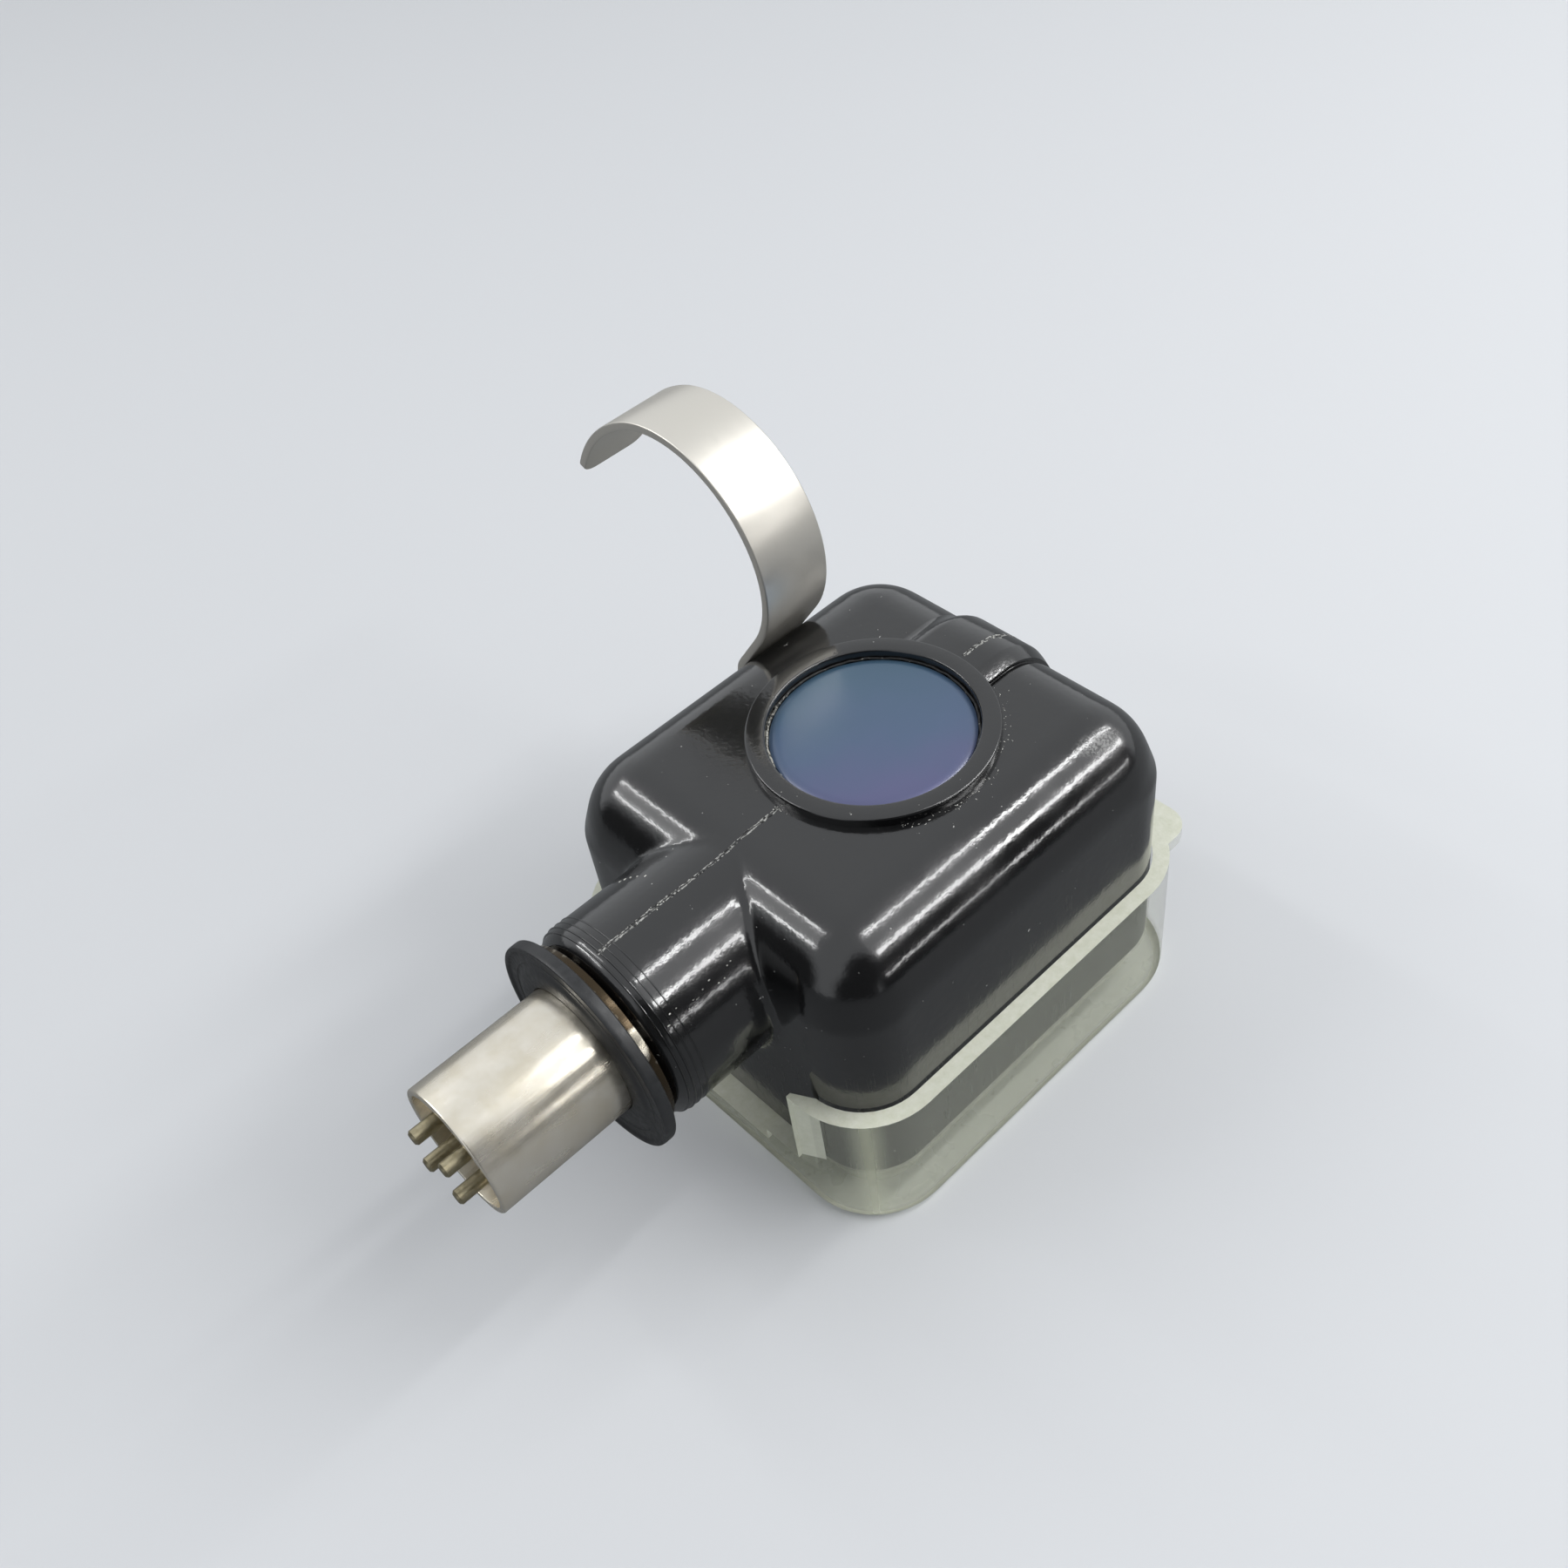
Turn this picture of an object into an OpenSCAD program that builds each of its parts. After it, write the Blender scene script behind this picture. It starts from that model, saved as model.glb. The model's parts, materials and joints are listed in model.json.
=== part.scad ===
// Moving-coil headshell cartridge with a four-pin bayonet plug, standing in its clear stylus guard.
// Millimetres. +X runs from the plug to the front, +Y to the finger lift's side, +Z up.
// The origin is on the plug's axis, in the plane of the tube's mouth.

/* [Bayonet plug] */
// Outside diameter of the plug tube, the standard eight millimetres
tube_d = 8; // [7.6:0.1:8.4]
// Wall of the plug tube
tube_wall = 0.4; // [0.3:0.05:0.6]
// Depth to which the tube is turned down behind its bearing land at the mouth
tube_relief = 0.16; // [0.16:0.01:0.2]
// Length of tube from the collar face to its mouth
tube_reach = 9.3; // [8.5:0.1:12]
// Length of tube held inside the neck, past the collar
tube_root = 4.2; // [3:0.1:5]
// Diameter of the collar flange
collar_d = 11.6; // [10.6:0.1:12]
// Thickness of the collar flange
collar_t = 0.6; // [0.4:0.1:1]
// Diameter of the locating pin
locator_d = 1.5; // [1:0.1:1.8]
// Distance from the collar face back to the locating pin's centre
locator_back = 4.2; // [3.2:0.1:5]
// Height of the locating pin above the tube
locator_rise = 1; // [0.6:0.1:1.3]

/* [Rubber washer] */
// Outside diameter of the washer
washer_d = 13.3; // [12.4:0.1:14]
// Thickness of the washer
washer_t = 0.9; // [0.6:0.1:1.4]
// Depth of the washer's dished face, between its hub and its rim
washer_dish = 0.2; // [0.1:0.05:0.4]

/* [Contacts and leads] */
// Diameter of a contact pin
pin_d = 0.9; // [0.7:0.05:1.1]
// Side of the square on which the four contact pins stand
pin_pitch = 2.7; // [2.2:0.1:3]
// Length of contact pin that stands out of the tube's mouth
pin_out = 1.3; // [0.6:0.1:2]
// Length of contact pin behind the insulator, where its lead is soldered
pin_tail = 1.5; // [1:0.1:2.5]
// Depth of the insulator's face inside the tube's mouth
insulator_recess = 2.4; // [1:0.1:3.4]
// Length of the insulator
insulator_l = 5; // [4:0.1:5.6]
// Diameter of an insulated lead
lead_d = 0.6; // [0.4:0.05:0.7]

/* [Shell] */
// Length of the box part of the shell
shell_l = 27.1; // [26.6:0.1:29]
// Width of the shell
shell_w = 24.5; // [23.5:0.1:27]
// Height of the shell's top above the plug's axis
shell_top = 6.3; // [6.3:0.1:7.5]
// Depth of the shell's open bottom edge below the plug's axis
shell_drop = 11.8; // [11.5:0.1:12.6]
// Thickness of the shell's side walls
shell_wall = 1.5; // [1.2:0.1:1.8]
// Thickness of the shell's roof
roof_t = 1.8; // [1.6:0.1:2]
// Plan radius of the shell's four upright corners
corner_r = 3.9; // [3.4:0.1:4.4]
// Radius round the shell's top edges
edge_r = 4.5; // [3.8:0.1:4.9]
// Diameter of the round neck
neck_d = 12.2; // [11.8:0.1:12.5]
// Radius round the neck's free end
neck_edge_r = 1.3; // [0.6:0.1:1.6]
// Bore that carries the leads from the tube into the shell
passage_d = 6.6; // [6:0.1:7]

/* [Badge and front rib] */
// Outside diameter of the raised badge ring
ring_d = 14.5; // [13.8:0.1:15.5]
// Inside diameter of the badge ring
ring_bore_d = 12.2; // [11.8:0.1:12.8]
// Height of the badge ring and the front rib above the shell
ring_rise = 0.6; // [0.4:0.1:0.9]
// Distance from the shell's rear wall to the badge's centre
ring_back = 14.5; // [13.5:0.1:15]
// Depth of the badge's seat below the ring's top
badge_seat = 1; // [0.8:0.1:1.2]
// Diameter of the badge disc
badge_d = 11.8; // [11:0.1:11.8]
// Thickness of the badge disc
badge_t = 0.6; // [0.4:0.1:0.8]
// Width of the front rib
rib_w = 5; // [4:0.1:6]
// Width of the soft flank on the front rib's left side
rib_flank = 1.4; // [0.8:0.1:2]
// Distance that the front rib stops above the stylus guard's rim
rib_stop = 1; // [0.5:0.1:3]

/* [Finger lift] */
// Width of the finger lift's strip
lift_w = 4.8; // [4:0.1:6]
// Thickness of the strip
lift_t = 0.55; // [0.4:0.05:0.7]
// Distance from the shell's rear wall to the strip's middle
lift_back = 17.3; // [17:0.1:18]
// Radius of the hook, to the middle of the strip
hook_r = 7.7; // [7:0.1:8.4]
// Radius of the flatter stretch towards the tip
tip_r = 11; // [10:0.5:14]
// Angle that the flatter stretch turns through
tip_turn = 42; // [30:1:50]
// Lean of the stretch that lies on the shell's rounded edge, from upright
lift_lean = 35; // [32:1:38]
// Length of flat strip between the shell's rounded edge and the hook
lean_up = 2.9; // [2:0.1:3.4]
// Radius of the corners at the strip's tip
tip_corner_r = 1.1; // [0.5:0.1:2]
// Radius of the bend down on to the shell's side
foot_bend_r = 2.5; // [2:0.1:3]
// Length of the foot that is screwed to the shell's side
foot_l = 6.2; // [5.4:0.1:6.6]
// Depth that the foot is let into the shell's side
foot_sink = 0.3; // [0.2:0.05:0.4]

/* [Screws] */
// Thread diameter of the finger lift's screw
lift_screw_d = 1.6; // [1.4:0.1:1.8]
// Thread diameter of the two mounting screws
mount_screw_d = 2; // [1.6:0.1:2.2]
// Thread diameter of the four cover screws
cover_screw_d = 1.6; // [1.4:0.1:1.8]
// Wall of the bosses round the screws
boss_wall = 1.1; // [0.9:0.1:1.2]
// Distance from the shell's rear wall to the mounting screws
mount_back = 12.5; // [11.5:0.1:13.5]
// Space between the magnet and the head of a mounting screw
mount_gap = 0.2; // [0.1:0.05:0.4]

/* [Generator] */
// Distance from the collar face to the stylus, the standard thirty millimetres
stylus_reach = 30; // [29.7:0.1:30.4]
// Distance from the stylus to the shell's front face
stylus_inset = 4.6; // [4:0.1:5.4]
// Height of the stylus tip below the shell's bottom edge
stylus_drop = 2; // [1.8:0.1:2.3]
// Length of cantilever from its pivot to the stylus
cantilever_l = 6.1; // [5.8:0.1:6.4]
// Outside diameter of the cantilever at its root
cantilever_d = 0.7; // [0.6:0.05:0.8]
// Outside diameter of the cantilever at its tip
cantilever_tip_d = 0.5; // [0.45:0.05:0.55]
// Bore of the cantilever
cantilever_bore = 0.25; // [0.2:0.05:0.3]
// Downward slope of the cantilever
rake = 18; // [16:0.5:20]
// Diameter of the stylus shank
shank_d = 0.22; // [0.18:0.02:0.26]
// Span of the armature's four arms
armature_span = 2.8; // [2.4:0.1:3]
// Thickness of the armature
armature_t = 0.7; // [0.6:0.05:0.8]
// Width of one armature arm
arm_w = 0.8; // [0.75:0.05:0.9]
// Thickness of a coil's winding
coil_t = 0.15; // [0.1:0.01:0.18]
// Diameter of the damper ring
damper_d = 2.2; // [1.8:0.1:2.6]
// Thickness of the damper ring
damper_t = 0.8; // [0.6:0.05:1]
// Diameter of the tie wire
tie_d = 0.2; // [0.15:0.01:0.22]
// Diameter of the rear pole
pole_d = 3; // [2.6:0.1:3.1]
// Space between the shell's rear wall and the generator
generator_gap = 2.8; // [2.4:0.1:3.4]
// Width of the magnet and its poles
magnet_w = 8.8; // [8:0.1:9]
// Height of the magnet
magnet_h = 3.8; // [3.2:0.1:3.9]
// Thickness of the front pole
front_pole_t = 1.4; // [1:0.1:1.8]
// Thickness of the rear yoke
yoke_t = 2.6; // [2.2:0.1:3]
// Thickness of the mounting plate
plate_t = 1.2; // [1:0.1:1.3]
// Depth of the mounting plate's top below the plug's axis
plate_drop = 0.9; // [0.8:0.1:1]
// Thickness of the underside cover
cover_t = 1; // [0.8:0.1:1.1]

/* [Stylus guard] */
// Wall of the stylus guard
guard_wall = 1; // [0.8:0.1:1.3]
// Thickness of the guard's floor
guard_floor = 1; // [0.8:0.1:1.3]
// Space between the stylus tip and the guard's floor
tip_space = 0.7; // [0.5:0.1:1.2]
// Height of guard wall that overlaps the shell
guard_grip = 6.4; // [5:0.1:6.8]
// Width of the notch that clears the neck
notch_w = 14.6; // [13.8:0.1:15.4]
// Height of the low rear wall under the notch, floor included
notch_sill = 2.5; // [1.8:0.1:3]
// Width of the raised haunch at each end of the low rear wall
haunch_w = 2.8; // [2:0.1:4]
// Height of a haunch above the low rear wall
haunch_rise = 1.1; // [0.6:0.1:1.6]
// Reach of the front lip that a fingertip pushes on
lip_reach = 1.1; // [0.8:0.1:2]
// Thickness of the front lip
lip_t = 0.9; // [0.7:0.1:1.4]
// Width of the ledge on which the shell's bottom edge rests
ledge_w = 0.9; // [0.6:0.1:1.1]

/* [Clearances] */
// Gap all round a piece that is glued, pressed or screwed in its seat
seat_fit = 0.03; // [0.02:0.01:0.05]
// Gap between the shell and the guard that slides on it
slide_fit = 0.12; // [0.08:0.01:0.2]
// Gap between faces that move past each other in the generator
swing_fit = 0.1; // [0.08:0.01:0.14]

/* [Hidden] */
$fn = 64;
blend_fn = 32;
cut = 1;
tube_r = tube_d / 2;
tube_bore_r = tube_r - tube_wall;
root_r = tube_r - tube_relief;
neck_r = neck_d / 2;
seat_x = tube_reach;

// Shell faces
neck_x0 = seat_x + collar_t;
stylus_x = seat_x + stylus_reach;
shell_x1 = stylus_x + stylus_inset;
shell_x0 = shell_x1 - shell_l;
shell_z0 = -shell_drop;
cavity_x0 = shell_x0 + shell_wall;
cavity_x1 = shell_x1 - shell_wall;
cavity_w = shell_w - 2 * shell_wall;
cavity_top = shell_top - roof_t;
ring_x = shell_x0 + ring_back;
ring_top = shell_top + ring_rise;
ring_z0 = shell_top - roof_t / 2;
rib_x0 = ring_x + (ring_d + ring_bore_d) / 4;

// Finger lift, as points of the strip's middle line in the YZ plane
lift_x = shell_x0 + lift_back;
foot_y = shell_w / 2 - foot_sink + lift_t / 2;
edge_y = shell_w / 2 - edge_r;
edge_z = shell_top - edge_r;
lean_y = edge_y + (edge_r + lift_t / 2) * cos(lift_lean);
lean_z = edge_z + (edge_r + lift_t / 2) * sin(lift_lean);
bend_y = foot_y - foot_bend_r;
lean_l = (bend_y + foot_bend_r * cos(lift_lean) - lean_y) / sin(lift_lean);
bend_top_y = lean_y + lean_l * sin(lift_lean);
bend_top_z = lean_z - lean_l * cos(lift_lean);
bend_z = bend_top_z - foot_bend_r * sin(lift_lean);
hook_y = lean_y - lean_up * sin(lift_lean) + hook_r * cos(lift_lean);
hook_z = lean_z + lean_up * cos(lift_lean) + hook_r * sin(lift_lean);
hook_end = 66;
tip_end = hook_end - tip_turn;
tip_y = hook_y + (hook_r - tip_r) * cos(hook_end);
tip_z = hook_z + (hook_r - tip_r) * sin(hook_end);
foot_corner_r = 1.5;
foot_end = 2.8;
foot_z0 = bend_z - foot_l;
lift_screw_z = foot_z0 + foot_end;
lift_head_d = 3.2;
lift_head_t = 0.8;
lift_screw_l = 3.2;
screw_blind = 0.4;

// Plug stack
locator_x = seat_x - locator_back;
land_l = locator_x - locator_d / 2 - seat_fit;
insulator_x0 = insulator_recess;
insulator_x1 = insulator_x0 + insulator_l;
pin_tail_x = insulator_x1 + pin_tail;
pin_chamfer = 0.12;
washer_hub_r = 5;
washer_rim_w = 0.35;
pin_signs = [[1, 1], [1, -1], [-1, 1], [-1, -1]];

// Generator: the suspension lies on one axis that slopes down to the stylus
shank_l = 0.55;
nose_l = 0.35;
tip_l = 0.2;
hub_d = 1.1;
arm_u = swing_fit / 2 + coil_t + 2 * seat_fit;
arm_end = 0.12;
pole_gap = 0.7;
pole_stand = 0.7;
pole_notch_d = 2.4;
tip_point = cantilever_tip_d / 2 + tip_l;
stylus_z = shell_z0 - stylus_drop;
pivot_x = stylus_x - cantilever_l * cos(rake) + tip_point * sin(rake);
pivot_z = stylus_z + cantilever_l * sin(rake) + tip_point * cos(rake);
front_pole_x0 = pivot_x + arm_u + armature_t + pole_gap;
front_pole_x1 = front_pole_x0 + front_pole_t;
generator_x0 = cavity_x0 + generator_gap;
magnet_x0 = generator_x0 + yoke_t;
plate_z1 = -plate_drop;
plate_z0 = plate_z1 - plate_t;
magnet_z0 = plate_z0 - magnet_h;
cover_z1 = shell_z0 + cover_t;
yoke_rim = 0.53;
yoke_z0 = pivot_z + (pivot_x - magnet_x0) * tan(rake) - (pole_d / 2 + seat_fit) / cos(rake) - yoke_rim;
front_pole_z0 = shell_z0 - pole_stand;
axis_back = (pivot_x - generator_x0) / cos(rake);
pole_inset = 0.35;
pole_back = axis_back - pole_inset;
pole_front = damper_t + 2 * swing_fit;
clamp_d = 1.6;
clamp_l = 2;
clamp_slot_w = 0.3;
clamp_slot_t = 0.6;
ferrule_d = 1;
ferrule_l = 0.8;
tie_bore_r = tie_d / 2 + swing_fit;
mount_x = shell_x0 + mount_back;
mount_head_d = 3.4;
mount_pitch = magnet_w + mount_head_d + 2 * mount_gap;
mount_head_t = 1.2;
mount_screw_l = 3.4;
ear_l = 5.6;
ear_rim = 0.2;
ear_w = mount_pitch + mount_head_d + 2 * ear_rim;

// Terminals on the mounting plate, where the leads end
strip_back = 0.9;
strip_x0 = generator_x0 + strip_back;
strip_l = 2;
strip_inset = 0.1;
strip_w = magnet_w - 2 * strip_inset;
strip_h = 1.6;
terminal_d = 0.7;
terminal_out = 1.3;
terminal_pitch = 2;
terminal_x = strip_x0 - terminal_out;
terminal_z = plate_z1 + strip_h / 2;

// Cover and its screws
post_r = cover_screw_d / 2 + boss_wall;
post_gap = 0.6;
post_inset = post_r + post_gap;
post_x = [cavity_x0 + post_inset, cavity_x1 - post_inset];
post_y = cavity_w / 2 - post_inset;
cover_head_d = 2.6;
cover_head_t = 0.6;
cover_screw_l = 4;
window_back = 1.17;
window_front = 1.8;
window_side = 0.5;
window_r = 1;
window_x0 = pivot_x - (cover_z1 - pivot_z + pole_d / 2 / cos(rake)) / tan(rake) - window_back;
window_x1 = stylus_x + window_front;
window_w = magnet_w + 2 * window_side;

// Stylus guard
guard_z0 = stylus_z - tip_space - guard_floor;
guard_z1 = shell_z0 + guard_grip;
guard_out = slide_fit + guard_wall;
guard_chamfer = 0.8;
layer = 0.1;
lip_corner_r = 1.6;
lip_w = shell_w - 1;
ledge_z = shell_z0 - seat_fit;

// Puts a piece drawn along +Z on the plug's axis, starting at x
module along_x(x) translate([x, 0, 0]) rotate([0, 90, 0]) children();

// Puts a piece drawn along +Z on the sloping suspension axis, u millimetres in front of the pivot
module on_axis(u)
    translate([pivot_x, 0, pivot_z]) rotate([0, 90 + rake, 0]) translate([0, 0, u]) children();

// Rectangle from x0 to x1 with round corners: two crossed bars and four discs
module round_rect(x0, x1, w, r) {
    translate([x0 + r, -w / 2]) square([x1 - x0 - 2 * r, w]);
    translate([x0, r - w / 2]) square([x1 - x0, w - 2 * r]);
    for (x = [x0 + r, x1 - r], y = [r - w / 2, w / 2 - r]) translate([x, y]) circle(r);
}

// The shell's outline grown by a gap, as an upright wall from z0 to z1
module shell_prism(gap, z0, z1) translate([0, 0, z0]) linear_extrude(z1 - z0)
    round_rect(shell_x0 - gap, shell_x1 + gap, shell_w + 2 * gap, corner_r + gap);

// Box with round upright corners rc and rounder top edges re
module soft_box(x0, x1, w, z0, z1, rc, re) hull() {
    for (x = [x0 + rc, x1 - rc], y = [rc - w / 2, w / 2 - rc])
        translate([x, y, z0]) cylinder(r = rc, h = z1 - re - z0, $fn = blend_fn);
    for (x = [x0 + re, x1 - re], y = [re - w / 2, w / 2 - re])
        translate([x, y, z1 - re]) sphere(re, $fn = blend_fn);
}

// Round neck whose free end is rounded, from the collar into the body
module neck() along_x(neck_x0) rotate_extrude() {
    square([neck_r - neck_edge_r, shell_x0 + edge_r - neck_x0]);
    translate([0, neck_edge_r]) square([neck_r, shell_x0 + edge_r - neck_x0 - neck_edge_r]);
    translate([neck_r - neck_edge_r, neck_edge_r]) circle(neck_edge_r);
}

// Front rib: one section swept over the roof, round the front edge and down the front
module front_rib() {
    outer_r = edge_r + ring_rise;
    inner_r = edge_r - shell_wall / 2;
    corner_x = shell_x1 - edge_r;
    corner_z = shell_top - edge_r;
    section = [
        [inner_r, -rib_w / 2 - rib_flank], [edge_r, -rib_w / 2 - rib_flank], [outer_r, -rib_w / 2],
        [outer_r, rib_w / 2], [inner_r, rib_w / 2]
    ];
    translate([rib_x0, 0, corner_z]) rotate([180, -90, 0]) linear_extrude(corner_x - rib_x0) polygon(section);
    translate([corner_x, 0, corner_z]) rotate([90, 0, 0]) rotate_extrude(angle = 90) polygon(section);
    translate([corner_x, 0, corner_z]) rotate([180, 0, 0])
        linear_extrude(corner_z - guard_z1 - rib_stop) polygon(section);
}

// Arc of strip of thickness t round (y, z), between the angles a0 and a1
module strip_arc(y, z, r, t, a0, a1) translate([y, z]) intersection() {
    difference() {
        circle(r + t / 2);
        circle(r - t / 2);
    }
    polygon([for (i = [0:4]) let (a = a0 + (a1 - a0) * i / 4) 2 * r * [cos(a), sin(a)], [0, 0]]);
}

// Side view of the finger lift: flat tip, hook, lean on the rounded edge, bend and foot
module lift_profile(t) {
    strip_arc(tip_y, tip_z, tip_r, t, tip_end, hook_end);
    strip_arc(hook_y, hook_z, hook_r, t, hook_end, 180 + lift_lean);
    translate([bend_top_y, bend_top_z]) rotate(lift_lean)
        translate([-t / 2, 0]) square([t, lean_l + lean_up]);
    strip_arc(bend_y, bend_z, foot_bend_r, t, 0, lift_lean);
    translate([foot_y - t / 2, foot_z0]) square([t, foot_l]);
}

// The lift's strip of thickness t and width w, in its place on the shell
module lift_strip(t, w)
    translate([lift_x - w / 2, 0, 0]) rotate([90, 0, 90]) linear_extrude(w) lift_profile(t);

// Slotted screw drawn with its head's underside at the origin and its shank along +Z
module slotted_screw(d, l, head_d, head_t) difference() {
    union() {
        cylinder(d = d, h = l);
        translate([0, 0, -head_t]) cylinder(d = head_d, h = head_t);
    }
    translate([-head_d / 2 - cut, -d / 8, -head_t - cut]) cube([head_d + 2 * cut, d / 4, cut + head_t / 2]);
}

// Bodies of the bosses and posts inside the shell
module shell_bosses() {
    for (y = [-1, 1] * mount_pitch / 2)
        translate([mount_x, y, plate_z1])
            cylinder(r = mount_screw_d / 2 + boss_wall, h = cavity_top - plate_z1);
    for (x = post_x, y = [-1, 1] * post_y)
        translate([x, y, cover_z1]) cylinder(r = post_r, h = cavity_top - cover_z1);
    boss_y1 = (cavity_w + shell_wall) / 2;
    boss_y0 = foot_y + lift_t / 2 - lift_screw_l - screw_blind;
    translate([lift_x, boss_y1, lift_screw_z]) rotate([90, 0, 0])
        cylinder(r = lift_screw_d / 2 + boss_wall, h = boss_y1 - boss_y0);
}

module shell() color([0.05, 0.05, 0.055]) difference() {
    union() {
        difference() {
            union() {
                soft_box(shell_x0, shell_x1, shell_w, shell_z0, shell_top, corner_r, edge_r);
                neck();
                translate([ring_x, 0, ring_z0]) cylinder(d = ring_d, h = ring_top - ring_z0);
                front_rib();
            }
            soft_box(cavity_x0, cavity_x1, cavity_w, shell_z0 - cut, cavity_top,
                corner_r - shell_wall, edge_r - shell_wall);
        }
        shell_bosses();
    }
    along_x(seat_x) cylinder(r = root_r + seat_fit, h = collar_t + tube_root);
    along_x(seat_x) cylinder(d = passage_d, h = cavity_x0 - seat_x + cut);
    translate([ring_x, 0, ring_top - badge_seat]) cylinder(d = ring_bore_d, h = badge_seat + cut);
    lift_strip(lift_t + 2 * seat_fit, lift_w + 2 * seat_fit);
    translate([lift_x, foot_y + lift_t / 2, lift_screw_z]) rotate([90, 0, 0])
        cylinder(d = lift_screw_d + 2 * seat_fit, h = lift_screw_l + seat_fit);
    for (y = [-1, 1] * mount_pitch / 2)
        translate([mount_x, y, plate_z1 - cut])
            cylinder(d = mount_screw_d + 2 * seat_fit, h = mount_screw_l + cut);
    for (x = post_x, y = [-1, 1] * post_y)
        translate([x, y, cover_z1 - cut])
            cylinder(d = cover_screw_d + 2 * seat_fit, h = cover_screw_l + cut);
}

module badge_disc() color([0.36, 0.4, 0.58])
    translate([ring_x, 0, ring_top - badge_seat]) rotate_extrude() {
        square([badge_d / 2 - badge_t / 3, badge_t]);
        square([badge_d / 2, badge_t * 2 / 3]);
        translate([badge_d / 2 - badge_t / 3, badge_t * 2 / 3]) circle(badge_t / 3);
    }

// What a round corner of radius r leaves outside it, at both sides of a strip's end at z = 0
module end_corners(r) for (side = [0, 1]) mirror([side, 0, 0])
    translate([lift_w / 2 - r, 0, r]) rotate([90, 0, 0]) linear_extrude(2 * cut, center = true)
        difference() {
            translate([0, -r - cut]) square([r + cut, r + cut]);
            circle(r);
        }

module finger_lift() color([0.78, 0.77, 0.73]) difference() {
    lift_strip(lift_t, lift_w);
    translate([lift_x, tip_y + tip_r * cos(tip_end), tip_z + tip_r * sin(tip_end)])
        rotate([tip_end, 0, 0]) end_corners(tip_corner_r);
    translate([lift_x, foot_y, foot_z0]) end_corners(foot_corner_r);
    translate([lift_x, foot_y + cut, lift_screw_z]) rotate([90, 0, 0])
        cylinder(d = lift_screw_d + 2 * seat_fit, h = 2 * cut);
}

module finger_lift_screw() color([0.75, 0.74, 0.7])
    translate([lift_x, foot_y + lift_t / 2, lift_screw_z]) rotate([90, 0, 0])
        slotted_screw(lift_screw_d, lift_screw_l, lift_head_d, lift_head_t);

module bayonet_tube() color([0.76, 0.72, 0.64]) difference() {
    union() {
        along_x(0) cylinder(r = tube_r, h = land_l);
        along_x(0) cylinder(r = root_r, h = tube_reach + collar_t + tube_root);
        along_x(seat_x) cylinder(d = collar_d, h = collar_t);
    }
    along_x(-cut) cylinder(r = tube_bore_r, h = tube_reach + collar_t + tube_root + 2 * cut);
    translate([locator_x, 0, -tube_r - cut])
        cylinder(d = locator_d + 2 * seat_fit, h = tube_wall + 2 * cut);
}

module locating_pin() color([0.7, 0.66, 0.58]) intersection() {
    translate([locator_x, 0, -tube_r - locator_rise]) cylinder(d = locator_d, h = locator_rise + tube_wall);
    along_x(locator_x - locator_d) difference() {
        cylinder(r = tube_r + locator_rise + cut, h = 2 * locator_d);
        translate([0, 0, -cut]) cylinder(r = tube_bore_r, h = 2 * (locator_d + cut));
    }
}

// Washer with a flat hub, a dished face and a raised rim on the plug's side
module rubber_washer() color([0.1, 0.1, 0.1]) along_x(seat_x - washer_t) rotate_extrude() {
    rim_r = washer_d / 2;
    polygon([
        [root_r + seat_fit, 0], [washer_hub_r, 0], [washer_hub_r + washer_dish, washer_dish],
        [rim_r - washer_rim_w, washer_dish], [rim_r - washer_rim_w, washer_dish / 2],
        [rim_r, washer_dish / 2], [rim_r, washer_t], [root_r + seat_fit, washer_t]
    ]);
}

module pin_insulator() color([0.85, 0.84, 0.78]) difference() {
    along_x(insulator_x0) cylinder(r = tube_bore_r - seat_fit, h = insulator_l);
    for (s = pin_signs) translate([insulator_x0 - cut, s[0] * pin_pitch / 2, s[1] * pin_pitch / 2])
        rotate([0, 90, 0]) cylinder(d = pin_d + 2 * seat_fit, h = insulator_l + 2 * cut);
}

// Contact pin with a chamfered tip, at the place s on the square
module contact_pin(s) color([0.7, 0.68, 0.55])
    translate([-pin_out, s[0] * pin_pitch / 2, s[1] * pin_pitch / 2]) rotate([0, 90, 0]) {
        translate([0, 0, pin_chamfer]) cylinder(d = pin_d, h = pin_tail_x + pin_out - pin_chamfer);
        cylinder(d1 = pin_d - 2 * pin_chamfer, d2 = pin_d, h = pin_chamfer);
    }

// Ring of points round p, in the plane across the direction d
function ring_points(p, d, r, sides) =
    let (u = cross(d, [0, 0, 1]) / norm(cross(d, [0, 0, 1])), v = cross(u, d) / norm(d))
    [for (i = [0:sides - 1]) p + r * (u * cos(360 * i / sides) + v * sin(360 * i / sides))];

// Smooth route from a to b that leaves and arrives along +X
function s_route(a, b, steps) =
    [for (i = [0:steps]) let (t = i / steps, s = t * t * (3 - 2 * t)) [a[0] + (b[0] - a[0]) * t,
        a[1] + (b[1] - a[1]) * s, a[2] + (b[2] - a[2]) * s]];

// Round wire swept along a route, with flat ends across X
module wire(route, r, sides = 8) {
    last = len(route) - 1;
    way = [for (i = [0:last]) i == 0 || i == last ? [1, 0, 0] : route[i + 1] - route[i - 1]];
    points = [for (i = [0:last]) each ring_points(route[i], way[i], r, sides)];
    walls = [for (i = [0:last - 1], k = [0:sides - 1])
        let (a = i * sides + k, b = i * sides + (k + 1) % sides) [a, b, b + sides, a + sides]];
    ends = [[for (k = [sides - 1:-1:0]) k], [for (k = [0:sides - 1]) last * sides + k]];
    polyhedron(points, concat(walls, ends), convexity = 4);
}

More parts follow.
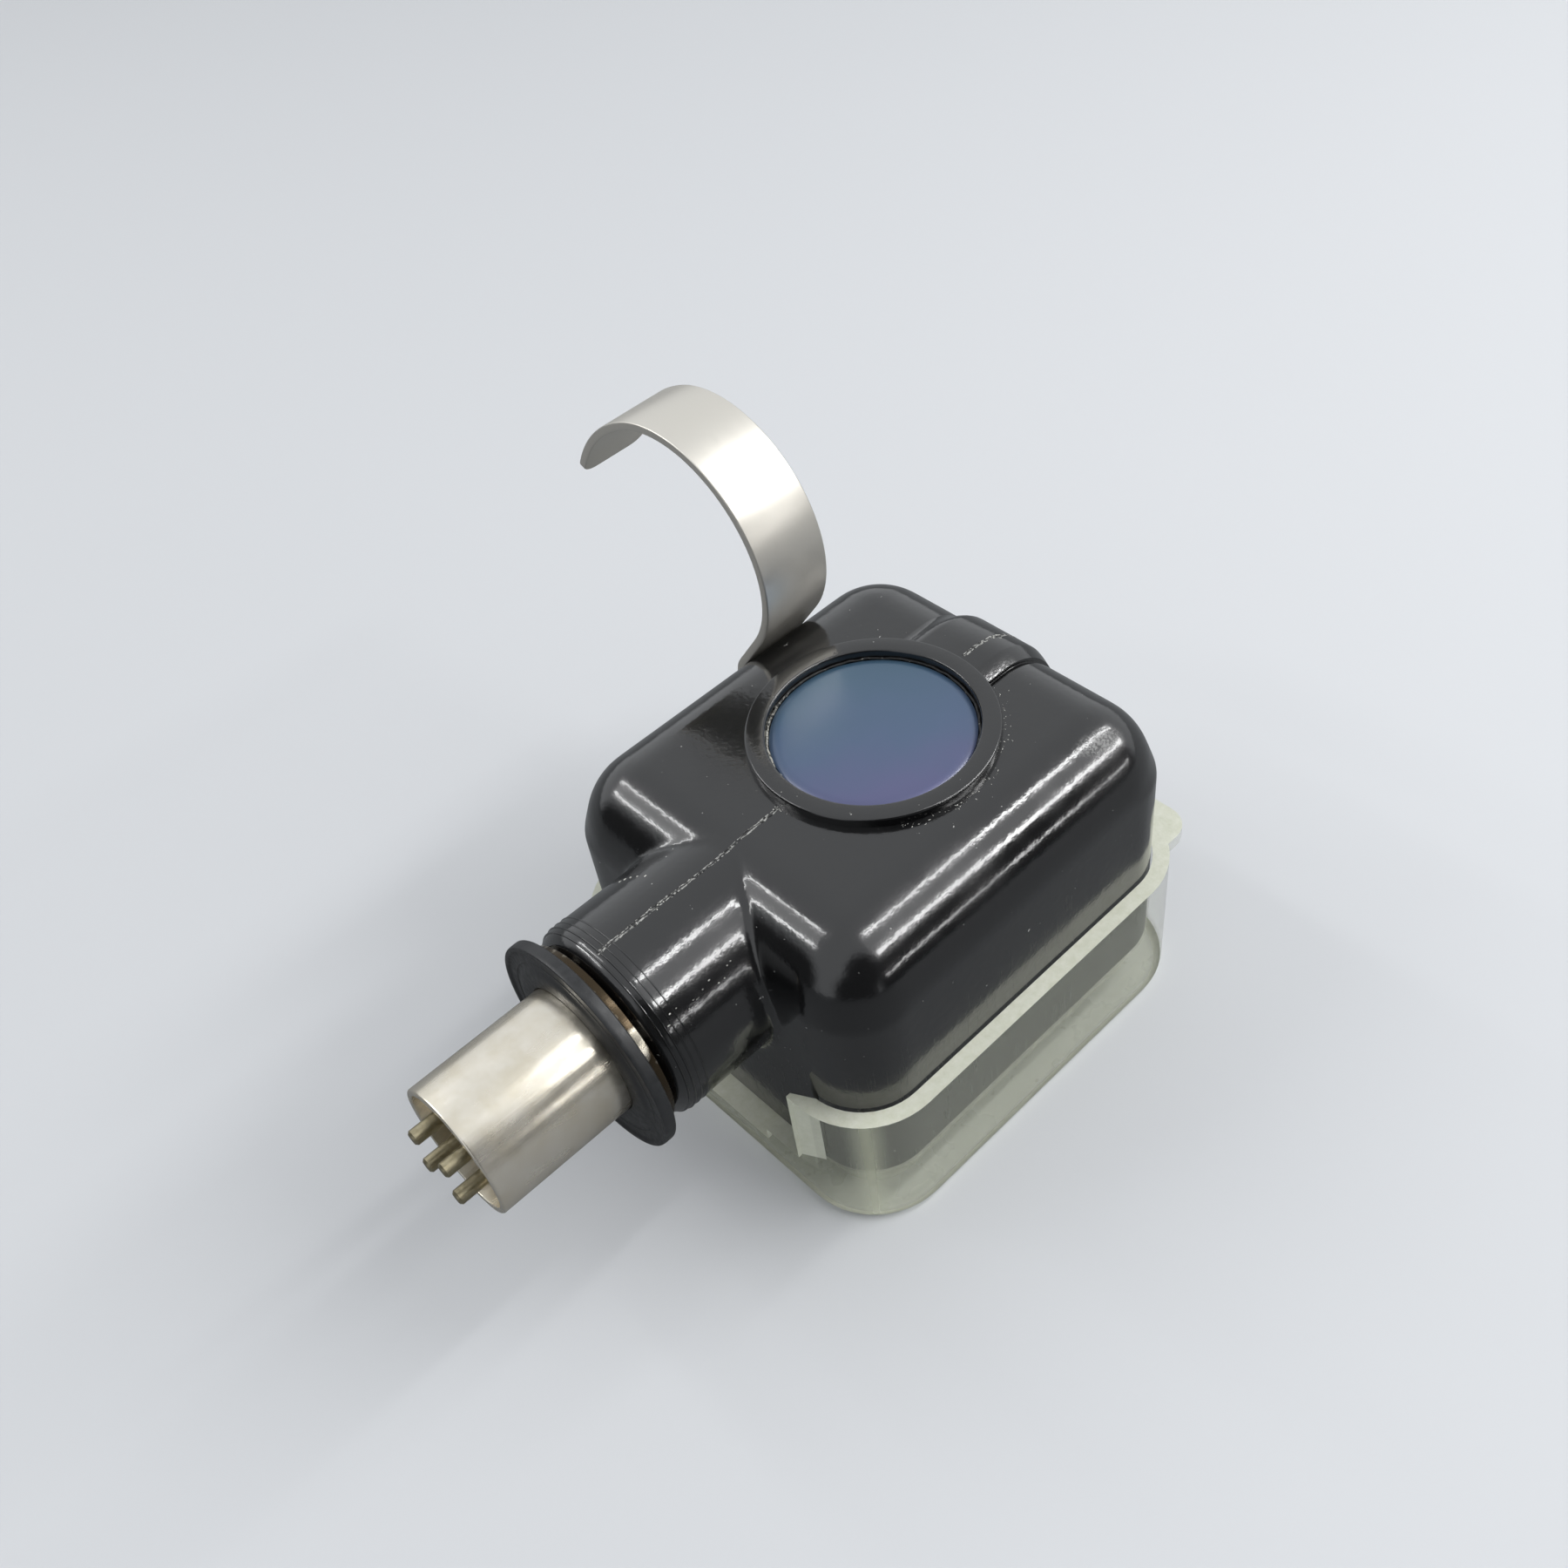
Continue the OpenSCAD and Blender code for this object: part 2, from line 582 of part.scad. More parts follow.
// Lead from the contact pin at place s to the terminal at place t, counted from -1.5 to 1.5
module lead(s, t, tint) color(tint)
    wire(s_route([pin_tail_x, s[0] * pin_pitch / 2, s[1] * pin_pitch / 2],
        [terminal_x, t * terminal_pitch, terminal_z], 12), lead_d / 2);

module terminal_strip() color([0.25, 0.16, 0.1]) difference() {
    translate([strip_x0, -strip_w / 2, plate_z1]) cube([strip_l, strip_w, strip_h]);
    for (t = [-1.5:1.5]) translate([strip_x0 - cut, t * terminal_pitch, terminal_z])
        rotate([0, 90, 0]) cylinder(d = terminal_d + 2 * seat_fit, h = strip_l + 2 * cut);
}

module terminal_pins() color([0.8, 0.7, 0.45])
    for (t = [-1.5:1.5]) translate([terminal_x, t * terminal_pitch, terminal_z])
        rotate([0, 90, 0]) cylinder(d = terminal_d, h = terminal_out + strip_l);

module mounting_plate() color([0.72, 0.6, 0.32]) difference() {
    translate([0, 0, plate_z0]) linear_extrude(plate_t) {
        translate([generator_x0, -magnet_w / 2]) square([front_pole_x1 - generator_x0, magnet_w]);
        translate([mount_x - ear_l / 2, -ear_w / 2]) square([ear_l, ear_w]);
    }
    for (y = [-1, 1] * mount_pitch / 2)
        translate([mount_x, y, plate_z0 - cut])
            cylinder(d = mount_screw_d + 2 * seat_fit, h = plate_t + 2 * cut);
}

module mounting_screws() color([0.75, 0.74, 0.7])
    for (y = [-1, 1] * mount_pitch / 2)
        translate([mount_x, y, plate_z0])
            slotted_screw(mount_screw_d, mount_screw_l, mount_head_d, mount_head_t);

module magnet() color([0.35, 0.36, 0.38])
    translate([magnet_x0, -magnet_w / 2, magnet_z0]) cube([front_pole_x0 - magnet_x0, magnet_w, magnet_h]);

module rear_yoke() color([0.62, 0.62, 0.6]) difference() {
    translate([generator_x0, -magnet_w / 2, yoke_z0]) cube([yoke_t, magnet_w, plate_z0 - yoke_z0]);
    on_axis(-axis_back - 2 * cut) cylinder(d = pole_d + 2 * seat_fit, h = yoke_t + 4 * cut);
}

// Flat pole with a notch, open below, that the cantilever passes through
module front_pole() color([0.62, 0.62, 0.6]) difference() {
    translate([front_pole_x0, -magnet_w / 2, front_pole_z0])
        cube([front_pole_t, magnet_w, plate_z0 - front_pole_z0]);
    notch_z = pivot_z - (front_pole_x0 + front_pole_t / 2 - pivot_x) * tan(rake);
    translate([front_pole_x0 - cut, 0, notch_z]) {
        rotate([0, 90, 0]) cylinder(d = pole_notch_d, h = front_pole_t + 2 * cut);
        translate([0, -pole_notch_d / 2, front_pole_z0 - notch_z - cut])
            cube([front_pole_t + 2 * cut, pole_notch_d, notch_z - front_pole_z0 + cut]);
    }
}

module rear_pole() color([0.66, 0.66, 0.64]) difference() {
    on_axis(-pole_back) cylinder(d = pole_d, h = pole_back - pole_front);
    on_axis(-pole_back - cut) cylinder(r = tie_bore_r, h = pole_back + cut);
    on_axis(-pole_back - cut) cylinder(d = clamp_d + 2 * seat_fit, h = clamp_l + ferrule_l + cut);
}

module clamp_screw() color([0.3, 0.3, 0.3]) difference() {
    on_axis(-pole_back) cylinder(d = clamp_d, h = clamp_l);
    on_axis(-pole_back - cut) translate([-clamp_d, -clamp_slot_w / 2, 0])
        cube([2 * clamp_d, clamp_slot_w, cut + clamp_slot_t]);
}

module tie_wire() color([0.8, 0.8, 0.78]) {
    on_axis(-pole_back + clamp_l) cylinder(d = tie_d, h = pole_back - clamp_l - swing_fit / 2);
    on_axis(-pole_back + clamp_l) cylinder(d = ferrule_d, h = ferrule_l);
}

module damper_ring() color([0.2, 0.15, 0.12]) difference() {
    on_axis(-damper_t - swing_fit) cylinder(d = damper_d, h = damper_t);
    on_axis(-damper_t - swing_fit - cut) cylinder(r = tie_bore_r, h = damper_t + 2 * cut);
}

// Four-armed former that carries both windings, on the cantilever's root
module armature() color([0.55, 0.5, 0.45]) difference() {
    union() {
        on_axis(arm_u) for (a = [45, 135]) rotate(a)
            translate([-armature_span / 2, -arm_w / 2, 0]) cube([armature_span, arm_w, armature_t]);
        on_axis(swing_fit / 2) cylinder(d = hub_d, h = arm_u + armature_t - swing_fit / 2);
    }
    on_axis(arm_u + armature_t / 2) cylinder(d = cantilever_d + 2 * seat_fit, h = armature_t);
}

// One channel's pair of windings, wound round the two arms at the angle a
module coil_pair(a) on_axis(arm_u) rotate(a) for (side = [0, 180]) rotate(side) {
    coil_l = (armature_span - hub_d) / 2 - arm_end - seat_fit;
    slot_w = arm_w + 2 * seat_fit;
    slot_t = armature_t + 2 * seat_fit;
    translate([hub_d / 2 + seat_fit, 0, -seat_fit]) difference() {
        translate([0, -slot_w / 2 - coil_t, -coil_t])
            cube([coil_l, slot_w + 2 * coil_t, slot_t + 2 * coil_t]);
        translate([-cut, -slot_w / 2, 0]) cube([coil_l + 2 * cut, slot_w, slot_t]);
    }
}

module coil_left() color([0.72, 0.4, 0.2]) coil_pair(45);
module coil_right() color([0.68, 0.36, 0.18]) coil_pair(135);

module cantilever() color([0.8, 0.8, 0.82]) difference() {
    root_u = arm_u + armature_t / 2;
    on_axis(root_u)
        cylinder(d1 = cantilever_d, d2 = cantilever_tip_d, h = cantilever_l + nose_l - root_u);
    on_axis(arm_u) cylinder(d = cantilever_bore, h = cantilever_l + cut);
    on_axis(cantilever_l) rotate([0, 90, 0]) translate([0, 0, -cut])
        cylinder(d = shank_d + seat_fit, h = 2 * cut);
}

module stylus_tip() color([0.75, 0.8, 0.9]) on_axis(cantilever_l) rotate([0, 90, 0]) {
    translate([0, 0, cantilever_tip_d / 2 - shank_l]) cylinder(d = shank_d, h = shank_l);
    translate([0, 0, cantilever_tip_d / 2]) cylinder(d1 = shank_d, d2 = 0.02, h = tip_l);
}

module underside_cover() color([0.07, 0.07, 0.075]) difference() {
    translate([0, 0, shell_z0]) linear_extrude(cover_t) difference() {
        round_rect(cavity_x0 + seat_fit, cavity_x1 - seat_fit, cavity_w - 2 * seat_fit,
            corner_r - shell_wall - seat_fit);
        round_rect(window_x0, window_x1, window_w, window_r);
        for (x = post_x, y = [-1, 1] * post_y) translate([x, y]) circle(d = cover_screw_d + 2 * seat_fit);
    }
    for (x = post_x, y = [-1, 1] * post_y) translate([x, y, shell_z0 - cut])
        cylinder(d = cover_head_d + 2 * seat_fit, h = cut + cover_head_t);
}

module cover_screws() color([0.72, 0.71, 0.68])
    for (x = post_x, y = [-1, 1] * post_y)
        translate([x, y, shell_z0 + cover_head_t])
            slotted_screw(cover_screw_d, cover_screw_l, cover_head_d, cover_head_t);

module stylus_guard() color([0.85, 0.86, 0.72, 0.45]) difference() {
    foot_z1 = guard_z0 + guard_chamfer;
    union() {
        shell_prism(guard_out, foot_z1, guard_z1);
        hull() {
            shell_prism(guard_out, foot_z1, foot_z1 + layer, $fn = blend_fn);
            shell_prism(guard_out - guard_chamfer, guard_z0, guard_z0 + layer, $fn = blend_fn);
        }
        translate([0, 0, guard_z1 - lip_t]) linear_extrude(lip_t)
            round_rect(shell_x1 - corner_r, shell_x1 + guard_out + lip_reach, lip_w, lip_corner_r);
    }
    shell_prism(slide_fit, ledge_z, guard_z1 + cut);
    shell_prism(-ledge_w, guard_z0 + guard_floor, guard_z1);
    translate([shell_x0 - guard_out - cut, -notch_w / 2, guard_z0 + notch_sill + haunch_rise])
        cube([guard_out + 2 * cut + ledge_w, notch_w, guard_z1 - guard_z0]);
    translate([shell_x0 - guard_out - cut, haunch_w - notch_w / 2, guard_z0 + notch_sill])
        cube([guard_out + 2 * cut + ledge_w, notch_w - 2 * haunch_w, guard_z1 - guard_z0]);
}

shell();
badge_disc();
finger_lift();
finger_lift_screw();
bayonet_tube();
locating_pin();
rubber_washer();
pin_insulator();
contact_pin(pin_signs[0]);  // contact_pin_left_hot
contact_pin(pin_signs[1]);  // contact_pin_left_return
contact_pin(pin_signs[2]);  // contact_pin_right_hot
contact_pin(pin_signs[3]);  // contact_pin_right_return
lead(pin_signs[0], 1.5, [0.9, 0.9, 0.88]);  // lead_left_hot
lead(pin_signs[1], 0.5, [0.15, 0.3, 0.7]);  // lead_left_return
lead(pin_signs[2], -1.5, [0.75, 0.1, 0.1]);  // lead_right_hot
lead(pin_signs[3], -0.5, [0.1, 0.5, 0.2]);  // lead_right_return
terminal_strip();
terminal_pins();
mounting_plate();
mounting_screws();
magnet();
rear_yoke();
front_pole();
rear_pole();
clamp_screw();
tie_wire();
damper_ring();
armature();
coil_left();
coil_right();
cantilever();
stylus_tip();
underside_cover();
cover_screws();
stylus_guard();
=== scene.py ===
import json
import math
import random

import bpy
from mathutils import Matrix, Vector, noise
from mathutils.bvhtree import BVHTree

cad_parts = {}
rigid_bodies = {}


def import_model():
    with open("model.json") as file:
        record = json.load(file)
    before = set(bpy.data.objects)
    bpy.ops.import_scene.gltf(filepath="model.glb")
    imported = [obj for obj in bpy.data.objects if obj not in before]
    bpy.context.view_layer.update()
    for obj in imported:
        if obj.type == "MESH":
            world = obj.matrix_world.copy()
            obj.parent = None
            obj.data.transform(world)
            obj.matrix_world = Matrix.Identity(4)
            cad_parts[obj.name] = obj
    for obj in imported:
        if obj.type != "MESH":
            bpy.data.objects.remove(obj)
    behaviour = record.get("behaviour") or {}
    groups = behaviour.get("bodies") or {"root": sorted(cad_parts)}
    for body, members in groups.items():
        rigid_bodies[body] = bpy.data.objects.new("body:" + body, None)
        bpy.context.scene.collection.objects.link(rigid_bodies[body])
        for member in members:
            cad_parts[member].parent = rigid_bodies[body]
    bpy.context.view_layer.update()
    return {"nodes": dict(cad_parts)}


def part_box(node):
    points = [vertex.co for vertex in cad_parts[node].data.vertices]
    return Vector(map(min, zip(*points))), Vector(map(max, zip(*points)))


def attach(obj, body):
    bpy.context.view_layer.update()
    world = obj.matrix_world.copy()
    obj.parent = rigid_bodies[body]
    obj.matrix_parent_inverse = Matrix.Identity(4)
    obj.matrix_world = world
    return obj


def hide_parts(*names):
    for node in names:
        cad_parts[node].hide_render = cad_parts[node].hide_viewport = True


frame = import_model()
nodes = frame["nodes"]
mm = 0.001
print("frame loaded:", len(nodes), "CAD nodes")


def spot(x, y, z):
    return Vector((x, y, z)) * mm


def boxOf(node):
    low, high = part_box(node)
    return low / mm, high / mm


# The camera stands where the photograph was taken, worked out from the 8 mm tube
view = {"place": (-11.07, -47.99, 69.89), "target": (28.81, 5.75, 0), "roll": -0.168, "lens": 36.756}


def addCamera():
    place, target = spot(*view["place"]), spot(*view["target"])
    forward = (target - place).normalized()
    right = forward.cross(Vector((0, 0, 1))).normalized()
    up = right.cross(forward)
    turn = view["roll"]
    rightTurned = right * math.cos(turn) + up * math.sin(turn)
    upTurned = up * math.cos(turn) - right * math.sin(turn)
    matrix = Matrix((rightTurned, upTurned, -forward)).transposed().to_4x4()
    matrix.translation = place
    lens = bpy.data.cameras.new("photoCamera")
    lens.lens = view["lens"]
    lens.sensor_width = 36
    lens.clip_start = 0.001
    camera = bpy.data.objects.new("photoCamera", lens)
    camera.matrix_world = matrix
    bpy.context.scene.collection.objects.link(camera)
    bpy.context.scene.camera = camera


addCamera()
print("camera placed")


# Small helpers for work in object and edit mode

def activate(piece):
    bpy.ops.object.select_all(action="DESELECT")
    piece.select_set(True)
    bpy.context.view_layer.objects.active = piece


def editAll(piece):
    activate(piece)
    bpy.ops.object.mode_set(mode="EDIT")
    bpy.ops.mesh.select_all(action="SELECT")


def leaveEdit():
    bpy.ops.object.mode_set(mode="OBJECT")


def newest(name):
    piece = bpy.context.object
    piece.name = name
    return piece


def extrudeBy(shift):
    bpy.ops.mesh.extrude_region_move(TRANSFORM_OT_translate={"value": shift})


def applyPlace(piece):
    activate(piece)
    bpy.ops.object.transform_apply(location=True, rotation=True, scale=True)


def applyModifier(piece, kind, **settings):
    activate(piece)
    modifier = piece.modifiers.new(kind.title(), kind)
    for key, value in settings.items():
        setattr(modifier, key, value)
    bpy.ops.object.modifier_apply(modifier=modifier.name)


def combine(piece, other, operation="DIFFERENCE"):
    applyModifier(piece, "BOOLEAN", operation=operation, object=other, solver="EXACT")
    bpy.data.objects.remove(other)


def copyOf(piece):
    twin = piece.copy()
    twin.data = piece.data.copy()
    bpy.context.collection.objects.link(twin)
    return twin


def joinInto(piece, others):
    activate(piece)
    for other in others:
        other.select_set(True)
    bpy.ops.object.join()
    return piece


# Selects the edges whose middle, in millimetres, and direction pass the test, and stays in edit mode
def pickEdges(piece, test):
    editAll(piece)
    bpy.ops.mesh.select_mode(type="EDGE")
    bpy.ops.mesh.select_all(action="DESELECT")
    leaveEdit()
    points = [v.co / mm for v in piece.data.vertices]
    for edge in piece.data.edges:
        a, b = (points[i] for i in edge.vertices)
        edge.select = bool(test((a + b) / 2, (b - a).normalized()))
    bpy.ops.object.mode_set(mode="EDIT")


def bevelPicked(width, segments=4):
    bpy.ops.mesh.bevel(offset=width * mm, segments=segments, profile=0.5, affect="EDGES")
    leaveEdit()


def addBlock(name, low, high):
    low, high = Vector(low), Vector(high)
    bpy.ops.mesh.primitive_cube_add(size=1, location=(low + high) / 2 * mm)
    piece = newest(name)
    piece.scale = (high - low) * mm
    applyPlace(piece)
    return piece


def addPrism(name, outline, z0, z1):
    bpy.ops.mesh.primitive_circle_add(vertices=len(outline), radius=mm, location=(0, 0, 0), fill_type="NGON")
    piece = newest(name)
    for vertex, (x, y) in zip(piece.data.vertices, outline):
        vertex.co = spot(x, y, z0)
    editAll(piece)
    extrudeBy(spot(0, 0, z1 - z0))
    closeUp()
    return piece


def addRod(name, start, end, radius, sides=48):
    start, end = spot(*start), spot(*end)
    bpy.ops.mesh.primitive_cylinder_add(vertices=sides, radius=radius * mm, depth=(end - start).length,
                                        location=(start + end) / 2,
                                        rotation=(end - start).to_track_quat("Z", "Y").to_euler())
    piece = newest(name)
    applyPlace(piece)
    return piece


# Turned piece: a closed section of (along, radius, rounding) points is spun round an axis through the centre
def addTurned(name, section, centre=(0, 0, 0), axis="X", steps=96):
    bpy.ops.mesh.primitive_circle_add(vertices=len(section), radius=mm, location=(0, 0, 0))
    piece = newest(name)
    centre = Vector(centre)
    places = []
    for vertex, (along, radius, rounding) in zip(piece.data.vertices, section):
        offset = Vector((along, 0, radius)) if axis == "X" else Vector((radius, 0, along))
        vertex.co = (centre + offset) * mm
        places.append((vertex.co.copy(), rounding))
    for place, rounding in places:
        if rounding:
            roundVertex(piece, place, rounding)
    editAll(piece)
    turnAxis = (1, 0, 0) if axis == "X" else (0, 0, 1)
    bpy.ops.mesh.spin(steps=steps, angle=2 * math.pi, center=centre * mm, axis=turnAxis)
    closeUp()
    return piece


def roundVertex(piece, place, rounding, segments=4):
    editAll(piece)
    bpy.ops.mesh.select_mode(type="VERT")
    bpy.ops.mesh.select_all(action="DESELECT")
    leaveEdit()
    nearest = min(piece.data.vertices, key=lambda v: (v.co - place).length)
    nearest.select = True
    bpy.ops.object.mode_set(mode="EDIT")
    bpy.ops.mesh.bevel(offset=rounding * mm, segments=segments, affect="VERTICES")
    leaveEdit()


def closeUp():
    bpy.ops.mesh.select_all(action="SELECT")
    bpy.ops.mesh.remove_doubles(threshold=1e-7)
    bpy.ops.mesh.normals_make_consistent(inside=False)
    leaveEdit()


def smooth(piece, angle=35):
    activate(piece)
    bpy.ops.object.shade_smooth_by_angle(angle=math.radians(angle))


def place(piece, body, slot, material, *replaced):
    piece.data.materials.clear()
    piece.data.materials.append(material)
    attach(piece, body)
    if replaced:
        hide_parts(*replaced)


# Materials

def toLinear(hexColour):
    values = [int(hexColour[i:i + 2], 16) / 255 for i in (1, 3, 5)]
    return [v / 12.92 if v <= 0.04045 else ((v + 0.055) / 1.055) ** 2.4 for v in values] + [1]


# Links a socket, or a node's first output, to an input
def link(tree, source, target):
    tree.links.new(getattr(source, "outputs", [source])[0], target)


# Adds one node. A setting is an attribute, a ramp's stops, or the value of an input
def addNode(tree, kind, settings=None, links=None):
    node = tree.nodes.new("ShaderNode" + kind)
    for key, value in (settings or {}).items():
        if key == "stops":
            for i, (position, colour) in enumerate(value):
                stop = node.color_ramp.elements[i] if i < 2 else node.color_ramp.elements.new(position)
                stop.position = position
                stop.color = colour
        elif isinstance(key, str) and hasattr(node, key):
            setattr(node, key, value)
        else:
            node.inputs[key].default_value = value
    for key, source in (links or {}).items():
        link(tree, source, node.inputs[key])
    return node


def newMaterial(name, colour, metallic, roughness, **sockets):
    material = bpy.data.materials.new(name)
    material.use_nodes = True
    shader = material.node_tree.nodes["Principled BSDF"]
    shader.inputs["Base Color"].default_value = toLinear(colour)
    shader.inputs["Metallic"].default_value = metallic
    shader.inputs["Roughness"].default_value = roughness
    for key, value in sockets.items():
        shader.inputs[key].default_value = value
    coords = addNode(material.node_tree, "TexCoord").outputs["Object"]
    return material, material.node_tree, shader, coords


# Roughness that wanders between two values with a noise of the given grain in millimetres, which it returns
def wanderRoughness(tree, shader, coords, grain, low, high, stretch=(1, 1, 1)):
    mapped = addNode(tree, "Mapping", {"Scale": stretch}, {"Vector": coords})
    field = addNode(tree, "TexNoise", {"Scale": 1 / (grain * mm), "Detail": 5, "Roughness": 0.6},
                    {"Vector": mapped})
    span = addNode(tree, "MapRange", {"From Min": 0.3, "From Max": 0.7, "To Min": low, "To Max": high},
                   {"Value": field})
    link(tree, span, shader.inputs["Roughness"])
    return field


# Bump from a height, where depth is the real height of the relief in millimetres
def addBump(tree, shader, height, depth):
    bump = addNode(tree, "Bump", {"Distance": depth * mm, "Strength": 1.0}, {"Height": height})
    link(tree, bump, shader.inputs["Normal"])
    return bump


def tintBetween(tree, shader, factor, first, second):
    mix = addNode(tree, "Mix", {"data_type": "RGBA", 6: toLinear(first), 7: toLinear(second)}, {0: factor})
    link(tree, mix.outputs[2], shader.inputs["Base Color"])
    return mix


# Black phenolic, moulded and polished: two glosses, a sharp one over a soft one, that give lamp
# reflections a bright core and a blurred edge, with faint orange peel, dust and a rubbed spot.
# The sizes and places of its patterns are in millimetres
polish = {"haze": 3.5, "dust": 0.32, "peel": 0.5, "peelDepth": 0.012, "wipe": 0.12, "wipeTop": 1.5,
          "wipeFull": -2.5, "spotPlace": (39.1, -9.8, 5.8), "spotSize": (1.9, 0.75, 1.2), "spotTurn": -12,
          "grit": 0.15}


def glossyPhenolic():
    material, tree, shader, coords = newMaterial("glossyPhenolic", "#0b0b0c", 0, 0.2, **{
        "IOR": 1.6, "Coat Weight": 0.5, "Coat Roughness": 0.04})
    haze = addNode(tree, "TexNoise", {"Scale": 1 / (polish["haze"] * mm), "Detail": 4}, {"Vector": coords})
    hazeSpan = addNode(tree, "MapRange", {"From Min": 0.35, "From Max": 0.7, "To Min": 0.13, "To Max": 0.24},
                       {"Value": haze})
    dust = addNode(tree, "TexNoise", {"Scale": 1 / (polish["dust"] * mm), "Detail": 2}, {"Vector": coords})
    dusty = addNode(tree, "MapRange", {"From Min": 0.755, "From Max": 0.8}, {"Value": dust})
    # The rubbed spot on the front right of the roof, about 3 mm long, broken up by grit
    near = addNode(tree, "Mapping", {"vector_type": "TEXTURE", "Location": spot(*polish["spotPlace"]),
                                     "Rotation": (0, 0, math.radians(polish["spotTurn"])),
                                     "Scale": spot(*polish["spotSize"])}, {"Vector": coords})
    span = addNode(tree, "VectorMath", {"operation": "LENGTH"}, {0: near}).outputs["Value"]
    inside = addNode(tree, "MapRange", {"From Min": 1.0, "From Max": 0.4}, {"Value": span})
    grit = addNode(tree, "TexNoise", {"Scale": 1 / (polish["grit"] * mm), "Detail": 3}, {"Vector": coords})
    gritSpan = addNode(tree, "MapRange", {"From Min": 0.4, "From Max": 0.62}, {"Value": grit})
    rubbed = addNode(tree, "Math", {"operation": "MULTIPLY"}, {0: inside, 1: gritSpan})
    pale = addNode(tree, "Math", {"operation": "MULTIPLY_ADD", 1: 0.35}, {0: rubbed, 2: dusty})
    tintBetween(tree, shader, pale, "#0b0b0c", "#a3a3a0")
    # Upright wiping marks that the guard leaves on the lower sides
    wiped = addNode(tree, "Mapping", {"Scale": (1, 1, 0.04)}, {"Vector": coords})
    marks = addNode(tree, "TexNoise", {"Scale": 1 / (polish["wipe"] * mm), "Detail": 3}, {"Vector": wiped})
    marked = addNode(tree, "MapRange", {"From Min": 0.55, "From Max": 0.75}, {"Value": marks})
    height = addNode(tree, "SeparateXYZ", None, {"Vector": coords}).outputs["Z"]
    low = addNode(tree, "MapRange", {"From Min": polish["wipeTop"] * mm, "From Max": polish["wipeFull"] * mm},
                  {"Value": height})
    lowMarks = addNode(tree, "Math", {"operation": "MULTIPLY"}, {0: marked, 1: low})
    rough = addNode(tree, "Math", {"operation": "MULTIPLY_ADD", 1: 0.45}, {0: pale, 2: hazeSpan})
    rougher = addNode(tree, "Math", {"operation": "MULTIPLY_ADD", 1: 0.16}, {0: lowMarks, 2: rough})
    link(tree, rougher, shader.inputs["Roughness"])
    coat = addNode(tree, "Math", {"operation": "MULTIPLY_ADD", 1: 0.3, 2: -0.01}, {0: rougher})
    link(tree, coat, shader.inputs["Coat Roughness"])
    peel = addNode(tree, "TexNoise", {"Scale": 1 / (polish["peel"] * mm), "Detail": 3, "Roughness": 0.6},
                   {"Vector": coords})
    bump = addBump(tree, shader, peel, polish["peelDepth"])
    link(tree, bump, shader.inputs["Coat Normal"])
    return material


# Nickel plate brushed along the strip: warm white, with fine lines that soften its reflections
def brushedNickel(name="brushedNickel", colour="#dedad1", low=0.34, high=0.42):
    material, tree, shader, coords = newMaterial(name, colour, 0.9, 0.3)
    field = wanderRoughness(tree, shader, coords, 0.08, low, high, (1, 0.08, 0.08))
    addBump(tree, shader, field, 0.0008)
    return material


# Bright nickel plate on a turned tube: warm, drawn along its length, and tarnished brown on the collar
plating = {"wander": 0.9, "stain": 1.6, "grime": 1.3, "grimeStart": 7.6, "grimeFull": 9.3, "drawn": 0.12}


def wornPlating():
    material, tree, shader, coords = newMaterial("wornPlating", "#d9cfba", 0.88, 0.3)
    wanderRoughness(tree, shader, coords, plating["wander"], 0.2, 0.3, (0.3, 1, 1))
    stain = addNode(tree, "TexNoise", {"Scale": 1 / (plating["stain"] * mm), "Detail": 6}, {"Vector": coords})
    stained = addNode(tree, "MapRange", {"From Min": 0.35, "From Max": 0.65}, {"Value": stain})
    plate = tintBetween(tree, shader, stained, "#e0d8c6", "#ebe5d8")
    along = addNode(tree, "SeparateXYZ", None, {"Vector": coords}).outputs["X"]
    behind = addNode(tree, "MapRange", {"From Min": plating["grimeStart"] * mm,
                                        "From Max": plating["grimeFull"] * mm}, {"Value": along})
    grime = addNode(tree, "TexNoise", {"Scale": 1 / (plating["grime"] * mm), "Detail": 3}, {"Vector": coords})
    grimy = addNode(tree, "MapRange", {"From Min": 0.66, "From Max": 0.5}, {"Value": grime})
    mask = addNode(tree, "Math", {"operation": "MULTIPLY"}, {0: behind, 1: grimy})
    tarnish = addNode(tree, "Mix", {"data_type": "RGBA", 7: toLinear("#42382a")},
                      {0: mask, 6: plate.outputs[2]})
    link(tree, tarnish.outputs[2], shader.inputs["Base Color"])
    drawn = addNode(tree, "Mapping", {"Scale": (0.03, 1, 1)}, {"Vector": coords})
    marks = addNode(tree, "TexNoise", {"Scale": 1 / (plating["drawn"] * mm), "Detail": 3}, {"Vector": drawn})
    addBump(tree, shader, marks, 0.004)
    return material


# Rubber washer: charcoal with a satin face, moulding bands and a dusty bloom
def washerRubber():
    material, tree, shader, coords = newMaterial("washerRubber", "#1d1e1f", 0, 0.42)
    field = wanderRoughness(tree, shader, coords, 0.4, 0.3, 0.5)
    tintBetween(tree, shader, field, "#121314", "#2c2d2f")
    addBump(tree, shader, field, 0.008)
    return material


# Dull worn plate on the contact pins
def wornPins():
    material, tree, shader, coords = newMaterial("wornPins", "#a89f83", 1, 0.35)
    field = wanderRoughness(tree, shader, coords, 0.25, 0.28, 0.5)
    tintBetween(tree, shader, field, "#857a5c", "#bdb59c")
    addBump(tree, shader, field, 0.01)
    return material


